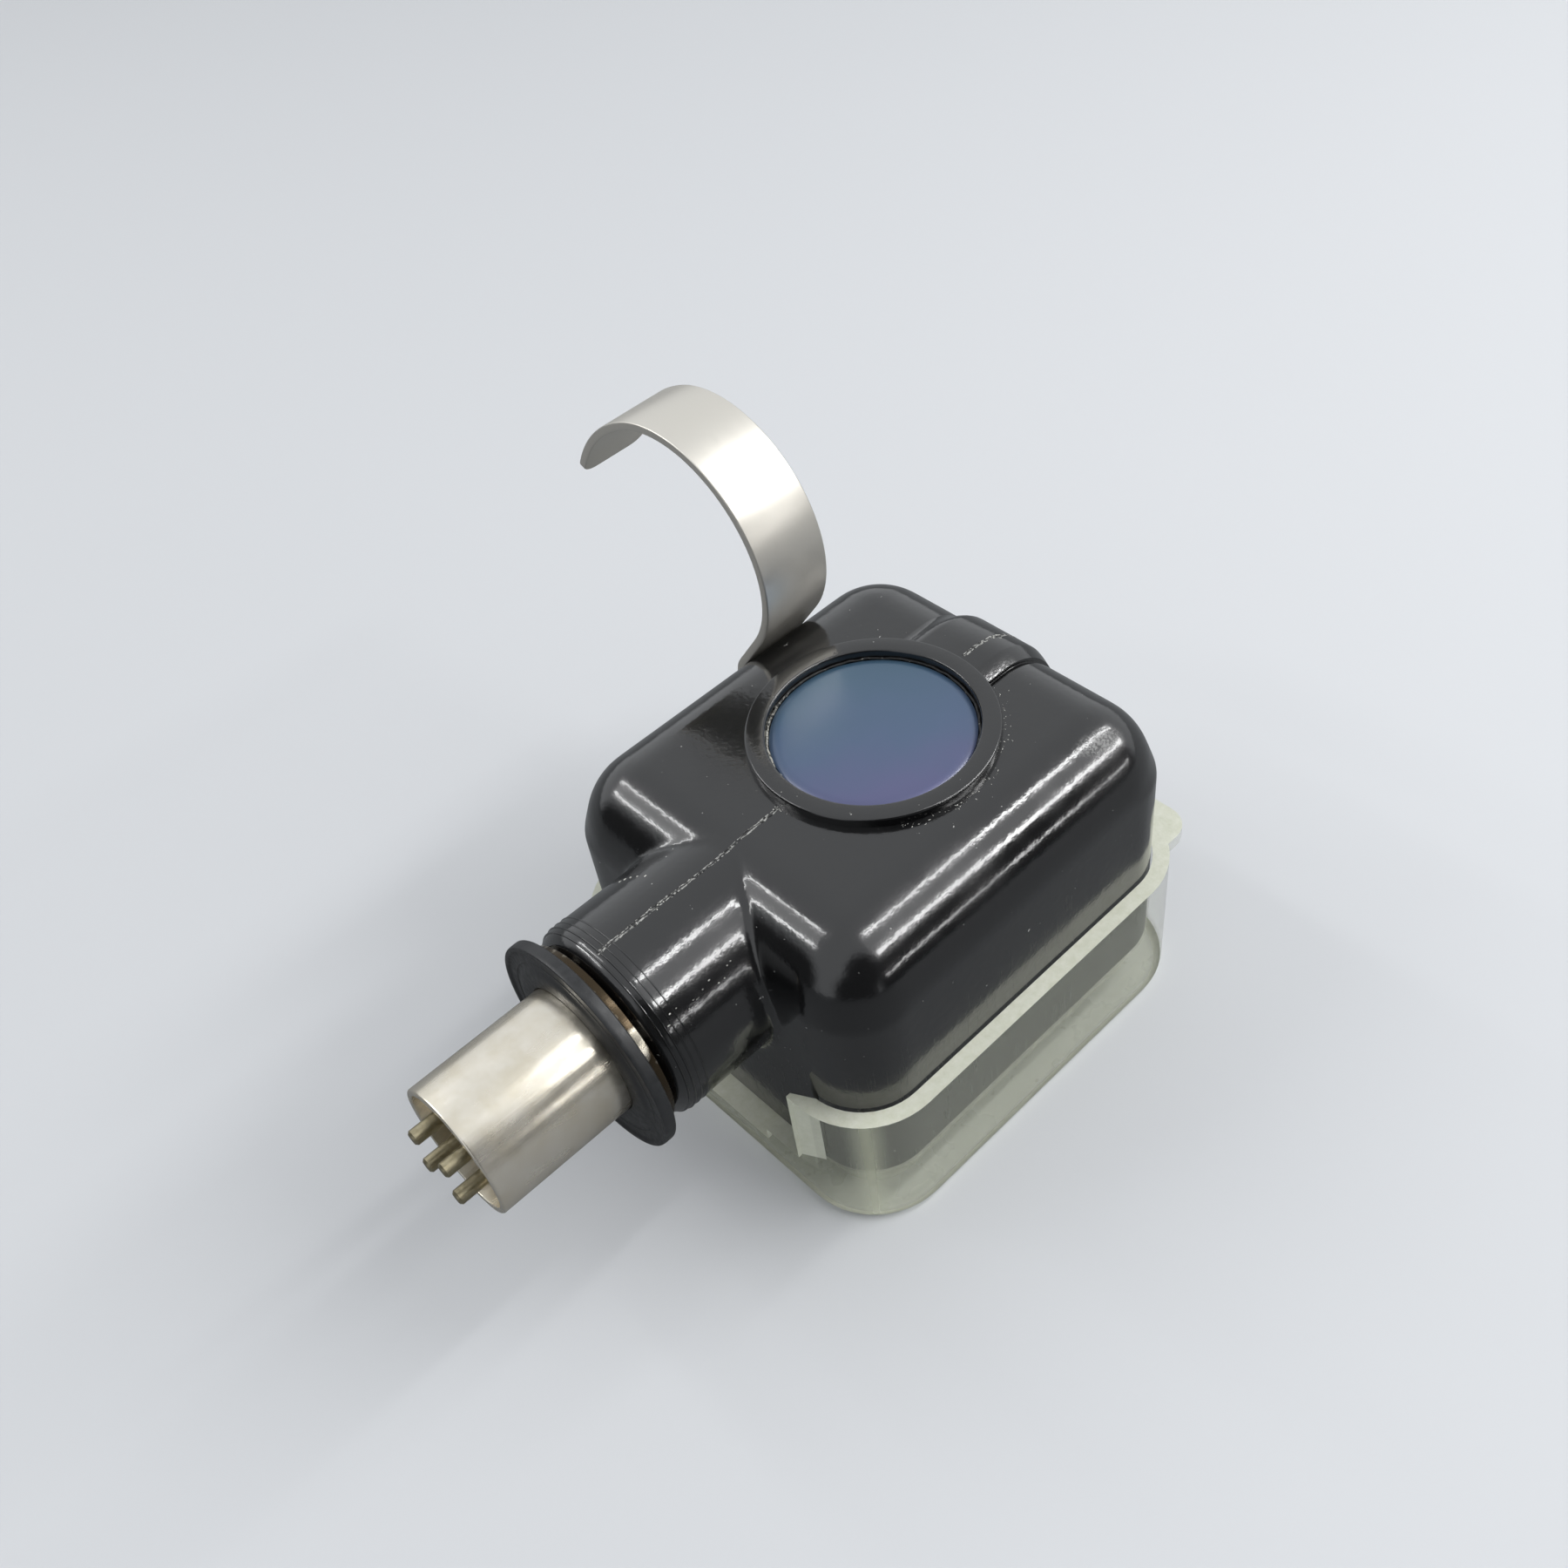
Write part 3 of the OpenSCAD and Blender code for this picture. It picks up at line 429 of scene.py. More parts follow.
# Metallised blue film under clear lacquer: slate blue that turns violet towards the rear right
def badgeFilm():
    low, high = boxOf("badge_disc")
    centre, radius = (low + high) / 2 * mm, (high.x - low.x) / 2 * mm
    material, tree, shader, coords = newMaterial("badgeFilm", "#45607a", 0.25, 0.38,
                                                 **{"Coat Weight": 0.5, "Coat Roughness": 0.17})
    mapped = addNode(tree, "Mapping", {"vector_type": "TEXTURE", "Location": centre, "Scale": [radius] * 3,
                                       "Rotation": (0, 0, math.radians(-120))},
                     {"Vector": coords})
    across = addNode(tree, "SeparateXYZ", None, {"Vector": mapped}).outputs["X"]
    cloud = addNode(tree, "TexNoise", {"Scale": 1 / (3 * mm), "Detail": 2}, {"Vector": coords})
    shifted = addNode(tree, "Math", {"operation": "MULTIPLY_ADD", 1: 0.7}, {0: cloud, 2: across})
    span = addNode(tree, "MapRange", {"From Min": -0.65, "From Max": 1.35}, {"Value": shifted})
    stops = [(0.1, toLinear("#3e596f")), (0.95, toLinear("#54577c")), (0.55, toLinear("#475a77"))]
    ramp = addNode(tree, "ValToRGB", {"stops": stops}, {"Fac": span})
    link(tree, ramp, shader.inputs["Base Color"])
    return material


# Dried glue, broken phenolic and painted glints: pale rough crumbs with dark gaps, their grain in
# millimetres.
# With shadeFade, a direction and two reaches along it, they darken from the first reach to the second:
# painted shade
def paleCrumbs(name, dark, pale, bias, grain=0.3, shadeFade=None):
    material, tree, shader, coords = newMaterial(name, pale, 0, 0.6)
    amount = addNode(tree, "TexNoise", {"Scale": 1 / (grain * mm), "Detail": 3}, {"Vector": coords})
    if shadeFade:
        way, first, second = shadeFade
        # Painted shade: darker from the first reach to the second
        along = addNode(tree, "VectorMath", {"operation": "DOT_PRODUCT", 1: way}, {0: coords})
        paintedShade = addNode(tree, "MapRange", {"From Min": first * mm, "From Max": second * mm,
                                          "To Min": 0.06, "To Max": -0.22},
                       {"Value": along.outputs["Value"]})
        amount = addNode(tree, "Math", {"operation": "ADD"}, {0: amount, 1: paintedShade})
    ramp = addNode(tree, "ValToRGB", {"stops": [(bias - 0.07, toLinear(dark)), (bias + 0.1, toLinear(pale))]},
                   {"Fac": amount})
    link(tree, ramp, shader.inputs["Base Color"])
    wanderRoughness(tree, shader, coords, 0.2, 0.4, 0.75)
    return material


# Clear polystyrene that has aged: faintly green-yellow, with hazy patches and upright scratches.
# Part of it lets light straight through, so that what stands behind stays clear and lit.
# Its foot and rear corners are cloudier and yellower so that they look lit, which is painted light for the
# light the thick foot and curved corners gather; the reaches are in millimetres
wearAndGlow = {"footTop": 1.3, "footFull": 0.1, "cornerStart": 2.32, "cornerFull": 3.52, "patch": 2.2,
          "scratch": 0.14}


def agedPolystyrene():
    material, tree, shader, coords = newMaterial("agedPolystyrene", "#eef1dc", 0, 0.05,
                                                 **{"Transmission Weight": 0.6, "IOR": 1.5, "Alpha": 0.2})
    axes = addNode(tree, "SeparateXYZ", None, {"Vector": coords}).outputs
    foot = addNode(tree, "MapRange", {"From Min": (guardLow.z + wearAndGlow["footTop"]) * mm,
                                      "From Max": (guardLow.z + wearAndGlow["footFull"]) * mm,
                                      "interpolation_type": "SMOOTHSTEP"}, {"Value": axes["Z"]})
    # The rear corners are cloudier over their whole height: painted light for the light their curve gathers
    turnX, turnY = (guardLow.x + guard["corner"]) * mm, (guardHigh.y - guard["corner"]) * mm
    behind = addNode(tree, "Math", {"operation": "SUBTRACT", 0: turnX}, {1: axes["X"]})
    aside = addNode(tree, "Math", {"operation": "ABSOLUTE"}, {0: axes["Y"]})
    beside = addNode(tree, "Math", {"operation": "SUBTRACT", 1: turnY}, {0: aside})
    nearer = addNode(tree, "Math", {"operation": "MINIMUM"}, {0: behind, 1: beside})
    corner = addNode(tree, "MapRange", {"From Min": wearAndGlow["cornerStart"] * mm,
                                        "From Max": wearAndGlow["cornerFull"] * mm,
                                        "interpolation_type": "SMOOTHSTEP"}, {"Value": nearer})
    # Painted light: towards the foot and rear corners the plastic turns less clear and paler
    thick = addNode(tree, "Math", {"operation": "MAXIMUM"}, {0: foot, 1: corner})
    tintBetween(tree, shader, thick, "#eff2de", "#e9ecd0")
    for socket, clear, glowing in (("Transmission Weight", 0.6, 0.2), ("Alpha", 0.2, 0.45)):
        span = addNode(tree, "MapRange", {"To Min": clear, "To Max": glowing}, {"Value": thick})
        link(tree, span, shader.inputs[socket])
    patches = addNode(tree, "TexNoise", {"Scale": 1 / (wearAndGlow["patch"] * mm), "Detail": 4},
                      {"Vector": coords})
    dull = addNode(tree, "MapRange", {"From Min": 0.45, "From Max": 0.75, "To Min": 0.02, "To Max": 0.09},
                   {"Value": patches})
    upright = addNode(tree, "Mapping", {"Scale": (1, 1, 0.06), "Rotation": (0.06, 0.1, 0)},
                      {"Vector": coords})
    lines = addNode(tree, "TexNoise", {"Scale": 1 / (wearAndGlow["scratch"] * mm), "Detail": 2},
                    {"Vector": upright})
    scratched = addNode(tree, "MapRange", {"From Min": 0.68, "From Max": 0.76, "To Max": 0.35},
                        {"Value": lines})
    worn = addNode(tree, "Math", {"operation": "ADD"}, {0: dull, 1: scratched})
    rough = addNode(tree, "Math", {"operation": "MULTIPLY_ADD", 1: 0.25}, {0: foot, 2: worn})
    link(tree, rough, shader.inputs["Roughness"])
    addBump(tree, shader, patches, 0.008)
    return material


# The same plastic where it was trimmed and rubbed: frosted, pale and waxy
def frostedRim():
    material, tree, shader, coords = newMaterial("frostedRim", "#dfe1d0", 0, 0.42,
                                                 **{"Transmission Weight": 0.1, "IOR": 1.5})
    field = wanderRoughness(tree, shader, coords, 0.4, 0.3, 0.55)
    tintBetween(tree, shader, field, "#cdd0b8", "#f3f4e8")
    addBump(tree, shader, field, 0.02)
    return material


# Plain moulded or painted finish with a little uneven gloss
def plainFinish(name, colour, second, roughness=0.45, grain=0.4, metallic=0.0, depth=0.004):
    material, tree, shader, coords = newMaterial(name, colour, metallic, roughness)
    field = wanderRoughness(tree, shader, coords, grain, roughness * 0.8, roughness * 1.2)
    tintBetween(tree, shader, field, colour, second)
    addBump(tree, shader, field, depth)
    return material


print("materials ready")


# Shell: a box with round corners and a rounder top, and a round neck, moulded as one.
# Its front stands behind the guard's lip and wall
shell = {"rear": 16.8, "edge": 4.5, "corner": 3.9, "neckRadius": 6.1, "neckEdge": 1.3, "ringRise": 0.6,
         "wall": 1.5, "roof": 1.8, "grain": 0.2, "seatDepth": 1.0, "seatRadius": 6.1, "passage": 3.3,
         "tubeRoot": 14.1, "tubeHole": 3.98, "cavityRear": 18.3, "behindLip": 1.1, "behindWall": 1.12}
shellLow, shellHigh = boxOf("shell")
guardLow, guardHigh = boxOf("stylus_guard")
badgeLow, badgeHigh = boxOf("badge_disc")
liftLow, liftHigh = boxOf("finger_lift")
shell["front"] = guardHigh.x - shell["behindLip"] - shell["behindWall"]
shell["half"] = shellHigh.y
shell["top"] = shellHigh.z - shell["ringRise"]
ringX = (badgeLow.x + badgeHigh.x) / 2
liftX = (liftLow.x + liftHigh.x) / 2


# Soft block: balls at the upper corners and rods below them, wrapped in one skin
def addSoftBlock(name, x0, x1, half, z0, z1, corner, edge, sides=64):
    parts = []
    for sideX in (x0, x1):
        for sideY in (-half, half):
            inX = 1 if sideX == x0 else -1
            inY = 1 if sideY < 0 else -1
            ballPlace = spot(sideX + inX * edge, sideY + inY * edge, z1 - edge)
            bpy.ops.mesh.primitive_uv_sphere_add(segments=sides, ring_count=sides // 2, radius=edge * mm,
                                                 location=ballPlace)
            parts.append(bpy.context.object)
            applyPlace(parts[-1])
            x, y = sideX + inX * corner, sideY + inY * corner
            parts.append(addRod("corner", (x, y, z0), (x, y, z1 - edge), corner, sides))
    piece = joinInto(parts[0], parts[1:])
    piece.name = name
    editAll(piece)
    bpy.ops.mesh.convex_hull()
    closeUp()
    return piece


def makeShellBody():
    body = addSoftBlock("shellBody", shell["rear"], shell["front"], shell["half"], shellLow.z - 1.5,
                        shell["top"], shell["corner"], shell["edge"])
    neck = addRod("neck", (shellLow.x, 0, 0), (shell["rear"] + shell["edge"], 0, 0), shell["neckRadius"], 128)
    pickEdges(neck, lambda middle, way: middle.x < shellLow.x + 0.01 and middle.yz.length > 1)
    bevelPicked(shell["neckEdge"], 10)
    joinInto(body, [neck])
    applyModifier(body, "REMESH", mode="VOXEL", voxel_size=shell["grain"] * mm)
    applyModifier(body, "SMOOTH", factor=0.5, iterations=7)
    editAll(body)
    bpy.ops.mesh.bisect(plane_co=spot(0, 0, shellLow.z), plane_no=(0, 0, -1), use_fill=True,
                        clear_outer=True, threshold=1e-6)
    leaveEdit()
    wall, rear, top = shell["wall"], shellLow.x, shellHigh.z
    combine(body, addSoftBlock("cavity", shell["cavityRear"], shell["front"] - wall, shell["half"] - wall,
                               shellLow.z - 1, shell["top"] - shell["roof"], shell["corner"] - wall,
                               shell["edge"] - wall, 32))
    for name, start, end, radius, sides in (
            ("tubeHole", (rear - 1, 0, 0), (shell["tubeRoot"], 0, 0), shell["tubeHole"], 96),
            ("passage", (rear, 0, 0), (shell["cavityRear"] + 0.5, 0, 0), shell["passage"], 64),
            ("badgeSeat", (ringX, 0, top - shell["seatDepth"]), (ringX, 0, top + 1),
             shell["seatRadius"], 128)):
        combine(body, addRod(name, start, end, radius, sides))
    return body


# Inside: four posts for the cover's screws, two bosses for the generator's and one for the finger lift's
boss = {"post": 1.9, "postInset": 2.5, "postHole": 0.83, "mount": 2.1, "mountHead": 3.4, "mountHole": 1.03,
        "intoRoof": 0.3, "pastScrew": 0.2, "liftHole": 0.83, "liftDepth": 3.6, "liftFloor": 0.4,
        "footEnd": 2.8}


def addBosses(body):
    plateTop, coverTop = boxOf("mounting_plate")[1].z, boxOf("underside_cover")[1].z
    roof, past = shell["top"] - shell["roof"] + boss["intoRoof"], boss["pastScrew"]
    screwLow, screwHigh = boxOf("mounting_screws")
    coverScrewTop = boxOf("cover_screws")[1].z
    wall, half, inset = shell["wall"], shell["half"], boss["postInset"]
    solids, holes = [], []
    for side in (-1, 1):
        y = side * (half - wall - inset)
        for x in (shell["cavityRear"] + inset, shell["front"] - wall - inset):
            solids.append(addRod("post", (x, y, coverTop), (x, y, roof), boss["post"], 32))
            holes.append(addRod("postHole", (x, y, coverTop - 1), (x, y, coverScrewTop + past),
                                boss["postHole"], 24))
        x, y = (screwLow.x + screwHigh.x) / 2, side * (screwHigh.y - boss["mountHead"] / 2)
        solids.append(addRod("boss", (x, y, plateTop), (x, y, roof), boss["mount"], 32))
        holes.append(addRod("bossHole", (x, y, plateTop - 1), (x, y, screwHigh.z + past),
                            boss["mountHole"], 24))
    outside, z = half - wall / 2, liftLow.z + boss["footEnd"]
    inside = outside - boss["liftDepth"]
    solids.append(addRod("liftBoss", (liftX, inside, z), (liftX, outside, z), boss["post"], 32))
    holes.append(addRod("liftHole", (liftX, inside + boss["liftFloor"], z), (liftX, half + 1, z),
                        boss["liftHole"], 24))
    combine(body, joinInto(solids[0], solids[1:]), "UNION")
    combine(body, joinInto(holes[0], holes[1:]))


phenolic = glossyPhenolic()
shellBody = makeShellBody()
addBosses(shellBody)
print("shell body:", len(shellBody.data.polygons), "faces")


# Finger lift: a strip drawn up the side, bent, leaned on the shell's edge and curled into a hook
lift = {"thick": 0.55, "footLength": 6.2, "bend": 2.5, "lean": 35, "leanLength": 3.095, "hook": 7.7,
        "hookTurn": 149, "tip": 11, "tipTurn": 42, "sink": 0.3, "tipCorner": 1.1, "footCorner": 1.5,
        "edgeRound": 0.09, "gap": 0.05}


# A stretch of the given length, at an angle from +Y towards +Z
def towards(angle, size):
    return Vector((0, math.cos(angle), math.sin(angle))) * size


# The strip is a plane drawn along its middle line, then given its thickness. The same strip cuts its seat
def addLiftStrip(name, width, thick, footCorner=0, tipCorner=0):
    y = shell["half"] - lift["sink"] + lift["thick"] / 2
    z0, length, bend, hook = liftLow.z, lift["footLength"], lift["bend"], lift["hook"]
    bpy.ops.mesh.primitive_plane_add(size=1, location=spot(liftX, y, z0 + length / 2),
                                     rotation=(math.pi / 2, 0, 0))
    strip = newest(name)
    strip.scale = (width * mm, length * mm, 1)
    applyPlace(strip)
    pickEdges(strip, lambda centre, way: centre.z > z0 + length - 0.01)
    lean = math.radians(lift["lean"])
    bendTop = z0 + length
    bpy.ops.mesh.spin(steps=8, angle=-lean, center=spot(0, y - bend, bendTop), axis=(1, 0, 0))
    upLean = Vector((0, -math.sin(lean), math.cos(lean))) * lift["leanLength"]
    extrudeBy(upLean * mm)
    start = Vector((0, y - bend * (1 - math.cos(lean)), bendTop + bend * math.sin(lean))) + upLean
    hookCentre = start + towards(lean, hook)
    bpy.ops.mesh.spin(steps=40, angle=math.radians(lift["hookTurn"]), center=hookCentre * mm, axis=(1, 0, 0))
    endAngle = math.pi + lean - math.radians(lift["hookTurn"])
    tipCentre = hookCentre + towards(endAngle, hook - lift["tip"])
    bpy.ops.mesh.spin(steps=12, angle=math.radians(lift["tipTurn"]), center=tipCentre * mm, axis=(1, 0, 0))
    leaveEdit()
    tip = tipCentre + towards(endAngle - math.radians(lift["tipTurn"]), lift["tip"])
    for side in (-width / 2, width / 2):
        if tipCorner:
            roundVertex(strip, (tip + Vector((liftX + side, 0, 0))) * mm, tipCorner, 6)
            roundVertex(strip, spot(liftX + side, y, z0), footCorner, 6)
    applyModifier(strip, "SOLIDIFY", thickness=thick * mm, offset=0, use_even_offset=True)
    return strip


def makeFingerLift():
    strip = addLiftStrip("fingerLift", liftWidth, lift["thick"], lift["footCorner"], lift["tipCorner"])
    y, z = shell["half"], liftLow.z + boss["footEnd"]
    combine(strip, addRod("hole", (liftX, y - 2, z), (liftX, y + 2, z), boss["liftHole"], 32))
    applyModifier(strip, "BEVEL", width=lift["edgeRound"] * mm, segments=3, limit_method="ANGLE",
                  angle_limit=math.radians(50))
    smooth(strip, 30)
    return strip


liftWidth = liftHigh.x - liftLow.x
combine(shellBody, addLiftStrip("liftRecess", liftWidth + 2 * lift["gap"], lift["thick"] + 2 * lift["gap"]))
smooth(shellBody, 40)
place(shellBody, "housing", "shell_black", phenolic, "shell")
fingerLift = makeFingerLift()
place(fingerLift, "housing", "lift_steel", brushedNickel(), "finger_lift")
print("shell and finger lift:", len(shellBody.data.polygons), len(fingerLift.data.polygons), "faces")


# Badge ring: a low flat ring moulded round the badge, with a crisp foot
ring = {"outer": 7.25, "inner": 6.1, "round": 0.14, "depth": 0.9}


def makeBadgeRing():
    top, low = shellHigh.z, shell["top"] - ring["depth"]
    inner, outer, rounding = ring["inner"], ring["outer"], ring["round"]
    section = [(low, inner, 0), (top, inner, rounding), (top, outer, rounding), (low, outer, 0)]
    piece = addTurned("badgeRing", section, (ringX, 0, 0), "Z", 128)
    smooth(piece, 40)
    return piece


badgeRing = makeBadgeRing()
place(badgeRing, "housing", "shell_black", phenolic)


# Front rib: a band over the roof and down the front, soft on its left flank, with a sloping facet
# and a groove on its right
rib = {"left": 2.5, "right": -2.5, "flank": 1.5, "under": 0.02, "sink": 0.5, "stop": -4.4, "facet": 1.05,
       "drop": 0.42, "grooveWidth": 0.3, "grooveDepth": 0.14}


# A section of (y, rise above the roof) points runs forward over the roof, round the front edge and down
def sweepOverFront(name, section, startX, endZ):
    cornerX, cornerZ = shell["front"] - shell["edge"], shell["top"] - shell["edge"]
    bpy.ops.mesh.primitive_circle_add(vertices=len(section), radius=mm, location=(0, 0, 0), fill_type="NGON")
    piece = newest(name)
    for vertex, (y, rise) in zip(piece.data.vertices, section):
        vertex.co = spot(startX, y, shell["top"] + rise)
    editAll(piece)
    extrudeBy(spot(cornerX - startX, 0, 0))
    bpy.ops.mesh.spin(steps=20, angle=-math.pi / 2, center=spot(cornerX, 0, cornerZ), axis=(0, 1, 0))
    extrudeBy(spot(0, 0, endZ - cornerZ))
    closeUp()
    return piece


def makeFrontRib():
    left, right, rise, drop = rib["left"], rib["right"], shell["ringRise"] - rib["under"], rib["drop"]
    flank = [(left + rib["flank"] * (1 - t), rise * t * t * (3 - 2 * t))
             for t in (0, 0.15, 0.3, 0.45, 0.6, 0.75, 0.9, 1)]
    facet = [(right + rib["facet"] * (1 - t), rise - drop * t ** 1.2)
             for t in (0, 0.1, 0.25, 0.5, 0.75, 0.95)]
    below = [(right - 0.04, -rib["sink"]), (left + rib["flank"], -rib["sink"])]
    section = flank + facet + [(right + 0.02, rise - drop - 0.06)] + below
    piece = sweepOverFront("frontRib", section, ringX + ring["inner"] + 0.5, rib["stop"])
    smooth(piece, 40)
    return piece


def cutRibGroove(body):
    right, width, depth = rib["right"] - 0.02, rib["grooveWidth"], rib["grooveDepth"]
    section = [(right + 0.1, 0.3), (right - width - 0.1, 0.3), (right - width * 0.7, -depth),
               (right - width * 0.3, -depth)]
    combine(body, sweepOverFront("groove", section, ringX + ring["outer"] * 0.9, rib["stop"]))
    smooth(body, 40)


cutRibGroove(shellBody)
frontRib = makeFrontRib()
place(frontRib, "housing", "shell_black", phenolic)
print("ring and rib done")


# Plug: a thin plated tube with its collar
plug = {"inner": 3.6, "outer": 4.0, "collar": 5.8, "collarThick": 0.6, "root": 3.95, "rim": 0.07, "edge": 0.1}
tubeEnd = boxOf("bayonet_tube")[1].x
washerLow, washerHigh = boxOf("rubber_washer")


def makePlugTube():
    inner, outer, collar, root = plug["inner"], plug["outer"], plug["collar"], plug["root"]
    rim, edge, seat, back = plug["rim"], plug["edge"], washerHigh.x, washerHigh.x + plug["collarThick"]
    section = [(0, inner, rim), (0, outer, rim * 2), (seat, outer, 0), (seat, collar, edge),
               (back, collar, edge), (back, root, 0), (tubeEnd, root, edge), (tubeEnd, inner, 0)]
    tube = addTurned("plugTube", section, steps=128)
    smooth(tube, 35)
    return tube


# Rubber washer: from the bore outwards its face dishes to two fine moulding lines, then rises to a band.
# A row is a depth behind the face, a radius (for the band, a reach inside the rim) and a rounding
washer = {"boreGap": 0.02, "backEase": 0.08, "backReach": 0.3,
          "dish": [(0, 5.0, 0.2), (0.18, 5.35, 0.1), (0.2, 5.55, 0.03), (0.15, 5.62, 0.03), (0.2, 5.7, 0.03)],
          "band": [(0.22, 0.45, 0.1), (0.1, 0.3, 0.08), (0.1, 0.04, 0.06), (0.3, 0, 0.06)]}


def makeDishedWasher():
    front, back, rim, bore = washerLow.x, washerHigh.x, washerHigh.y, plug["outer"] + washer["boreGap"]
    dish = [(front + depth, radius, rounding) for depth, radius, rounding in washer["dish"]]
    band = [(front + depth, rim - reach, rounding) for depth, reach, rounding in washer["band"]]
    rear = [(back - washer["backEase"], rim, 0.1), (back, rim - washer["backReach"], 0.05)]
    disc = addTurned("dishedWasher", [(back, bore, 0.05), (front, bore, 0.1)] + dish + band + rear, steps=128)
    smooth(disc, 30)
    return disc


plugTube = makePlugTube()
place(plugTube, "housing", "plug_nickel", wornPlating(), "bayonet_tube")
dishedWasher = makeDishedWasher()
place(dishedWasher, "housing", "washer_rubber", washerRubber(), "rubber_washer")


# Badge: a slightly domed disc glued in the ring, with rough glue round it
badge = {"dome": 0.03, "roll": 0.7, "rollDrop": 0.17, "glueRadius": 6.02, "glueThick": 0.09,
         "glueWander": 0.06, "glueGrain": 0.5, "glueSeed": 7}


def makeBadgeDisc():
    low, top, radius = badgeLow.z, badgeHigh.z, (badgeHigh.x - badgeLow.x) / 2
    flat = radius - badge["roll"]
    dome = [(top - badge["dome"] * (i / 5) ** 2, flat * i / 5, 0) for i in range(6)]
    roll = [(top - badge["dome"] - badge["rollDrop"] * t ** 2.5, flat + badge["roll"] * t, 0)
            for t in (0.2, 0.4, 0.6, 0.8, 1)]
    disc = addTurned("badgeDisc", dome + roll + [(low, radius, 0), (low, 0, 0)], (ringX, 0, 0), "Z", 128)
    smooth(disc, 40)
    return disc


# Glue squeezed up between disc and ring, uneven and chalky
def makeBadgeGlue():
    bpy.ops.mesh.primitive_torus_add(location=spot(ringX, 0, badgeHigh.z - badge["rollDrop"]),
                                     major_radius=badge["glueRadius"] * mm, major_segments=200,
                                     minor_radius=badge["glueThick"] * mm, minor_segments=8)
    glue = newest("badgeGlue")
    applyPlace(glue)
    # Left alone, this noise takes its seed from the clock, and the glue would differ from run to run
    noise.seed_set(badge["glueSeed"])
    for vertex in glue.data.vertices:
        vertex.co += noise.noise_vector(vertex.co / (badge["glueGrain"] * mm)) * badge["glueWander"] * mm
    smooth(glue, 60)
    return glue


badgeDisc = makeBadgeDisc()
place(badgeDisc, "housing", "badge_blue", badgeFilm(), "badge_disc")
# The glue darkens towards the front left, where the ring's wall shades it: painted shade
glueShadeFade = ((0.9, 0.3, 0), ringX * 0.9 - 2.5, ringX * 0.9 + 2)
driedGlue = paleCrumbs("driedGlue", "#0d0d0d", "#b4b3aa", 0.5, 0.16, glueShadeFade)
place(makeBadgeGlue(), "housing", "shell_black", driedGlue)
print("plug and badge done")


# Mould flash: where the mould's halves met, a fine double line over neck and roof, and along the rib
seam = {"y": -0.16, "gap": 0.15, "neck": (10.9, 24.0), "rib": (38.7, 43.3), "step": 0.24, "radius": 0.042,
        "wander": 0.035, "sunk": 0.01, "swells": (0.45, 0.8, 1, 1.2, 1.5)}
blackSkins = []


# The height of the black surface at a place
def topOf(x, y):
    hits = [tree.ray_cast(spot(x, y, 20), Vector((0, 0, -1)))[0] for tree in blackSkins]
    return max(hit.z for hit in hits if hit) / mm


def layBead(name, points, radius, dice):
    bpy.ops.mesh.primitive_circle_add(vertices=6, radius=radius * mm, location=spot(*points[0]),
                                      rotation=(0, math.pi / 2, 0), fill_type="NGON")
    bead = newest(name)
    applyPlace(bead)
    editAll(bead)
    size = 1
    for before, after in zip(points, points[1:]):
        extrudeBy((Vector(after) - Vector(before)) * mm)
        wanted = dice.choice(seam["swells"])
        bpy.ops.transform.resize(value=(1, wanted / size, wanted / size), center_override=spot(*after))
        size = wanted
    closeUp()
    return bead


def makePartingLine(dice):
    beads = []
    for start, end in (seam["neck"], seam["rib"]):
        for side in (-0.5, 0.5):
            points = []
            for i in range(int((end - start) / seam["step"]) + 1):
                x = start + i * seam["step"]
                y = seam["y"] + side * seam["gap"] + dice.uniform(-1, 1) * seam["wander"]
                points.append((x, y, topOf(x, y) - seam["sunk"]))
            beads.append(layBead("partingLine", points, seam["radius"], dice))
    return joinInto(beads[0], beads[1:])


# Flakes and glints: chips along the line with denser clusters, crumbs round the ring's foot, a row of small
# nicks on the neck coloured pale as painted glints along its highlight, and a curl beside it. A cluster is x,
# y, count, reach and size, a chip is x, y and size, turns are degrees
flakesAndGlints = {"sink": 0.3, "line": 26, "lineReach": (11, 24), "lineSize": (0.04, 0.085),
          "clusters": [(14.9, -0.2, 7, 0.25, 0.09), (23.95, -0.15, 9, 0.3, 0.1), (41.4, -0.2, 5, 0.3, 0.1)],
          "ring": 84, "ringTurn": (-125, -18), "ringGap": 0.05, "ringSpread": 0.25, "ringSize": (0.02, 0.06),
          "neck": 12, "neckTurn": (46, 52), "neckStart": 11.2, "neckLength": 5, "neckSize": (0.03, 0.07),
          "chip": (23.35, -0.75, 0.16), "curl": (15.2, 3.5, 0.07)}


def addCrumb(first, place, size, dice, stretch=(1, 1, 0.5), turned=True):
    crumb = copyOf(first)
    turn = dice.uniform(0, math.pi) if turned else 0
    for vertex in crumb.data.vertices:
        point = Vector(vertex.co[i] * stretch[i] * dice.uniform(0.6, 1.25) for i in range(3))
        point.rotate(Matrix.Rotation(turn, 3, "Z"))
        vertex.co = point * size + spot(*place)
    return crumb


